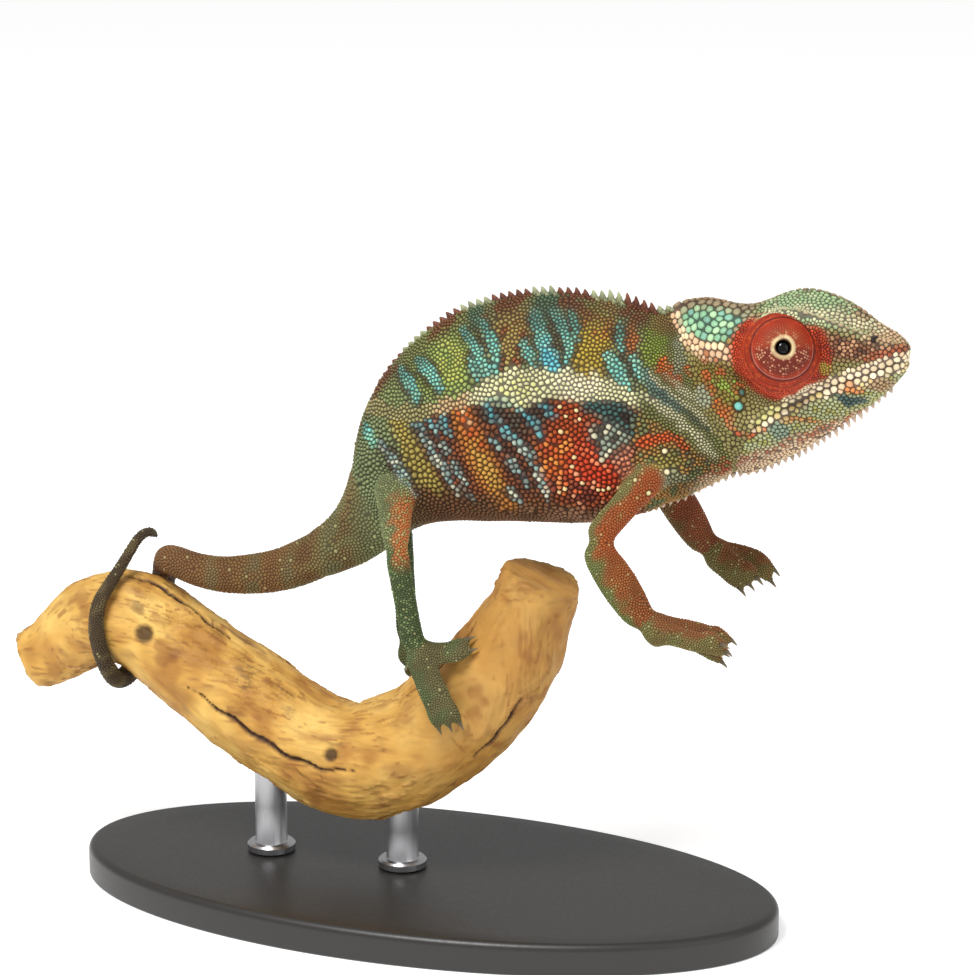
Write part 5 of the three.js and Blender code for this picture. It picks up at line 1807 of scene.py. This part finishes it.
base_low, base_high = box_of("stand_base")
half = (base_high - base_low) / 2
base_middle = (base_high + base_low) / 2 * [1, 1, 0]
TOP_EDGE, FOOT_EDGE = 1.2, 0.4  # mm
rings = [oval(half[0] - a, half[1] - a, base_low[2] + b) for a, b in rounded_edge(FOOT_EDGE)[::-1]]
rings += [oval(half[0] - a, half[1] - a, base_high[2] - b) for a, b in rounded_edge(TOP_EDGE)]
rings += [oval(*(half[:2] - TOP_EDGE) * share, base_high[2]) for share in (0.9, 0.6, 0.3)]
points, faces = turned_stack(rings)
base = mesh_object("base", points + base_middle, faces)
print("base:", np.round(2 * half, 1), "mm")


# %% The rods and their collars
def rod(node):
    low, high = box_of(node)
    radius = (high - low)[:2].mean() / 2
    collar = radius * 1.5
    stack = [(collar, 0.0), (collar, 0.9), (collar - 0.3, 1.2), (radius + 0.15, 1.25), (radius, 1.5)]
    stack += [(radius, (high - low)[2] * s) for s in (0.4, 0.7, 1.0)]
    points, faces = turned_stack([oval(r, r, z, 56) for r, z in stack])
    return mesh_object(node + "_steel", points + [*(low + high)[:2] / 2, low[2]], faces)


rods = {node: rod(node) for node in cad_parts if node.startswith("stand_rod")}
for piece in (base, *rods.values()):
    piece.data.set_sharp_from_angle(angle=math.radians(40))
print("rods:", len(rods))

# %% [markdown]
# ## Shared effects
#
# Two small node groups serve the finishes that read a mesh's own colours. One makes a colour factor that
# drifts lighter and darker, and the other gives a surface a fine tooth. Their sizes are in waves per metre,
# since the model is in metres.


# %% Node groups
def new_group(name, inputs, outputs):
    """A shader node group with named sockets: {name: (type, value)} going in and {name: type} coming out."""
    tree = bpy.data.node_groups.new(name, "ShaderNodeTree")
    for label, (kind, value) in inputs.items():
        tree.interface.new_socket(label, in_out="INPUT", socket_type=kind).default_value = value
    for label, kind in outputs.items():
        tree.interface.new_socket(label, in_out="OUTPUT", socket_type=kind)
    return tree, tree.nodes.new("NodeGroupInput"), tree.nodes.new("NodeGroupOutput")


def fill(tree, node, sockets):
    """Sets each named socket of a node to a value, or links it to another node's socket."""
    for name, value in sockets.items():
        if isinstance(value, bpy.types.NodeSocket):
            tree.links.new(value, node.inputs[name])
        else:
            node.inputs[name].default_value = value


def add(tree, kind, sockets, **settings):
    """Adds a node, with its settings and its sockets, and gives back its first output."""
    node = tree.nodes.new("ShaderNode" + kind)
    for name, value in settings.items():
        setattr(node, name, value)
    fill(tree, node, sockets)
    return node.outputs[0]


def cloudy(tree, waves, detail, stretch=(1, 1, 1)):
    """Noise from 0 to 1, laid on the object's own places, and stretched along x, y or z."""
    place = tree.nodes.new("ShaderNodeTexCoord").outputs["Object"]
    if stretch != (1, 1, 1):
        place = add(tree, "VectorMath", {0: place, 1: stretch}, operation="MULTIPLY")
    return add(tree, "TexNoise", {"Vector": place, "Scale": waves, "Detail": detail})


def drift_group():
    sizes = {"Waves": ("NodeSocketFloat", 800.0), "Amount": ("NodeSocketFloat", 0.2)}
    tree, start, end = new_group("drift", sizes, {"Factor": "NodeSocketFloat"})
    cloud = cloudy(tree, start.outputs["Waves"], 4)
    centred = add(tree, "Math", {0: cloud, 1: 0.5}, operation="SUBTRACT")
    factor = add(tree, "Math", {0: centred, 1: start.outputs["Amount"], 2: 1}, operation="MULTIPLY_ADD")
    fill(tree, end, {"Factor": factor})
    return tree


def tooth_group():
    sizes = {"Waves": ("NodeSocketFloat", 6000.0), "Depth": ("NodeSocketFloat", 0.3)}
    tree, start, end = new_group("tooth", sizes, {"Normal": "NodeSocketVector"})
    grit = cloudy(tree, start.outputs["Waves"], 3)
    bump = add(tree, "Bump", {"Distance": 0.00004, "Height": grit, "Strength": start.outputs["Depth"]})
    fill(tree, end, {"Normal": bump})
    return tree


DRIFT, TOOTH = drift_group(), tooth_group()


# %% A finish from a mesh's own colours
def new_material(name):
    made = bpy.data.materials.new(name)
    made.use_nodes = True
    return made, made.node_tree, made.node_tree.nodes["Principled BSDF"]


def finish_of(name, roughness, shine=0.5, waves=900.0, drift=0.25, tooth=0.3, tooth_waves=7000.0, coat=0.0):
    """A material whose colour is the mesh's tint, drifting a little, with a fine tooth and uneven gloss."""
    made, tree, surface = new_material(name)
    tint = add(tree, "Attribute", {}, attribute_name="tint")
    patchy = add(tree, "Group", {"Waves": waves, "Amount": drift}, node_tree=DRIFT)
    uneven = add(tree, "Group", {"Waves": waves * 2.3, "Amount": 0.35}, node_tree=DRIFT)
    fill(tree, surface, {
        "Base Color": add(tree, "VectorMath", {0: tint, "Scale": patchy}, operation="SCALE"),
        "Roughness": add(tree, "Math", {0: uneven, 1: roughness}, operation="MULTIPLY"),
        "Normal": add(tree, "Group", {"Waves": tooth_waves, "Depth": tooth}, node_tree=TOOTH),
        "Specular IOR Level": shine,
        "Coat Weight": coat,
        "Coat Roughness": 0.06,
    })
    return made


SKINS = {  # (roughness, shine)
    "head_skin": (0.46, 0.32), "body_skin": (0.5, 0.28), "tail_skin": (0.52, 0.28), "limb_skin": (0.52, 0.28),
}
FINISHES = {
    **{name: finish_of(name, roughness, shine) for name, (roughness, shine) in SKINS.items()},
    "turret_skin": finish_of("turret_skin", 0.55, 0.2, tooth=0.2, tooth_waves=12000.0),
    "under_skin": finish_of("under_skin", 0.7, 0.15, tooth=0.5),
    "eye": finish_of("eye", 0.06, 0.25, drift=0.05, tooth=0.0, coat=0.15),
    "claw": finish_of("claw", 0.35, 0.35, drift=0.15, tooth=0.1),
    "driftwood": finish_of("driftwood", 0.62, 0.3, waves=500.0, drift=0.3, tooth=0.8, tooth_waves=4000.0),
}
print("finishes:", ", ".join(FINISHES))


# %% Satin black and brushed steel
def varying(tree, marks, value, low, high):
    """A value times low to high, as the marks go from 0 to 1."""
    return add(tree, "MapRange", {"Value": marks, "To Min": value * low, "To Max": value * high})


def plain_finish(name, colour, roughness, metal, waves, stretch):
    """A one-colour finish with fine marks stretched along x, y or z."""
    made, tree, surface = new_material(name)
    marks = cloudy(tree, waves, 5, stretch)
    shade = varying(tree, marks, 1, 0.9, 1.1)
    fill(tree, surface, {
        "Metallic": metal,
        "Base Color": add(tree, "VectorMath", {0: linear(colour), "Scale": shade}, operation="SCALE"),
        "Roughness": varying(tree, marks, roughness, 0.75, 1.3),
        "Normal": add(tree, "Bump", {"Distance": 0.00002, "Strength": 0.5, "Height": marks}),
    })
    return made


FINISHES["stand_base"] = plain_finish("stand_base", (40, 38, 36), 0.38, 0.0, 2500.0, (1, 1, 1))
FINISHES["stand_rod"] = plain_finish("stand_rod", (176, 176, 178), 0.3, 1.0, 3000.0, (1, 1, 0.04))

# %% [markdown]
# ## Putting it together
#
# Every piece rides on the one body, and the solids it stands for are hidden. The scales share the solids of
# their region with the skin below them.


# %% Fitting the pieces
def fit(piece, kind, *nodes, finish=None):
    piece.data.materials.append(FINISHES[finish or kind])
    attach(piece, "root")
    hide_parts(*nodes)


fit(skin, "body_skin", *FLESH, finish="under_skin")
for piece, (nodes, kind) in coat.items():
    fit(piece, kind, *nodes)
for side in SIDES:
    fit(turrets[side], "turret_skin", f"eye_turret_{side}")
    fit(eyeballs[side], "eye", f"eye_{side}")
fit(back_crest, "body_skin", "trunk", "neck", "tail_1")
fit(throat_crest, "head_skin", "jaw", "neck")
fit(claw_piece, "claw", *TOE_TIPS)
fit(perch, "driftwood", "perch")
fit(base, "stand_base", "stand_base")
for node, piece in rods.items():
    fit(piece, "stand_rod", node)

# %% [markdown]
# ## The stage, light and camera
#
# A pale floor and a big soft light from above left, as in a plain studio, with a weaker fill from the
# other side so that the shaded flank still reads.

# %% The floor
FLOOR_REACH = 6000.0  # mm
SQUARE = ((-1, -1), (1, -1), (1, 1), (-1, 1))
floor = mesh_object("floor", [(x * FLOOR_REACH, y * FLOOR_REACH, 0) for x, y in SQUARE], [(0, 1, 2, 3)])
floor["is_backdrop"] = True
paper, tree, surface = new_material("floor")
fill(tree, surface, {
    "Base Color": (0.9, 0.9, 0.9, 1),
    "Roughness": 0.9,
    "Specular IOR Level": 0.1,
    "Emission Color": (1, 1, 1, 1),
    "Emission Strength": 0.42,
})
floor.data.materials.append(paper)

# %% The light
world = bpy.data.worlds.new("studio")
bpy.context.scene.world = world
world.use_nodes = True
tree = world.node_tree
fill(tree, tree.nodes["Background"], {"Color": (1, 1, 1, 1), "Strength": 0.56})
seen_sky = add(tree, "Background", {"Strength": 1.0})
path = tree.nodes.new("ShaderNodeLightPath").outputs["Is Camera Ray"]
mixed = add(tree, "MixShader", {"Fac": path, 1: tree.nodes["Background"].outputs[0], 2: seen_sky})
fill(tree, tree.nodes["World Output"], {"Surface": mixed})

low_corner, high_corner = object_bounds()
centre = (Vector(low_corner) + Vector(high_corner)) / 2


def looking_at(name, data, target, azimuth, elevation, distance):
    """A light or camera that faces a target. Azimuth 0 is in front of it, and 90 is to the right."""
    made = bpy.data.objects.new(name, data)
    a, e = math.radians(azimuth), math.radians(elevation)
    away = Vector((math.sin(a) * math.cos(e), -math.cos(a) * math.cos(e), math.sin(e)))
    made.location = target + away * distance
    made.rotation_euler = away.to_track_quat("Z", "Y").to_euler()
    bpy.context.scene.collection.objects.link(made)
    return made


def soft_light(name, azimuth, elevation, distance, size, power):
    data = bpy.data.lights.new(name, "AREA")
    data.size = size
    data.energy = power
    looking_at(name, data, centre, azimuth, elevation, distance)


soft_light("key", -15, 58, 0.6, 0.2, 3.1)
soft_light("fill", 70, 25, 0.7, 0.5, 0.7)

# %% The camera
DISTANCE = 0.62
WIDE = 0.14625  # m across at the middle of the model
AIM = Vector((0.006987, 0, 0.067))
lens = bpy.data.cameras.new("camera")
lens.sensor_width = 36
lens.lens = lens.sensor_width * DISTANCE / WIDE
lens.clip_start = 0.01
bpy.context.scene.camera = looking_at("camera", lens, AIM, 20, 15, DISTANCE)
bpy.context.scene.view_settings.view_transform = "Standard"
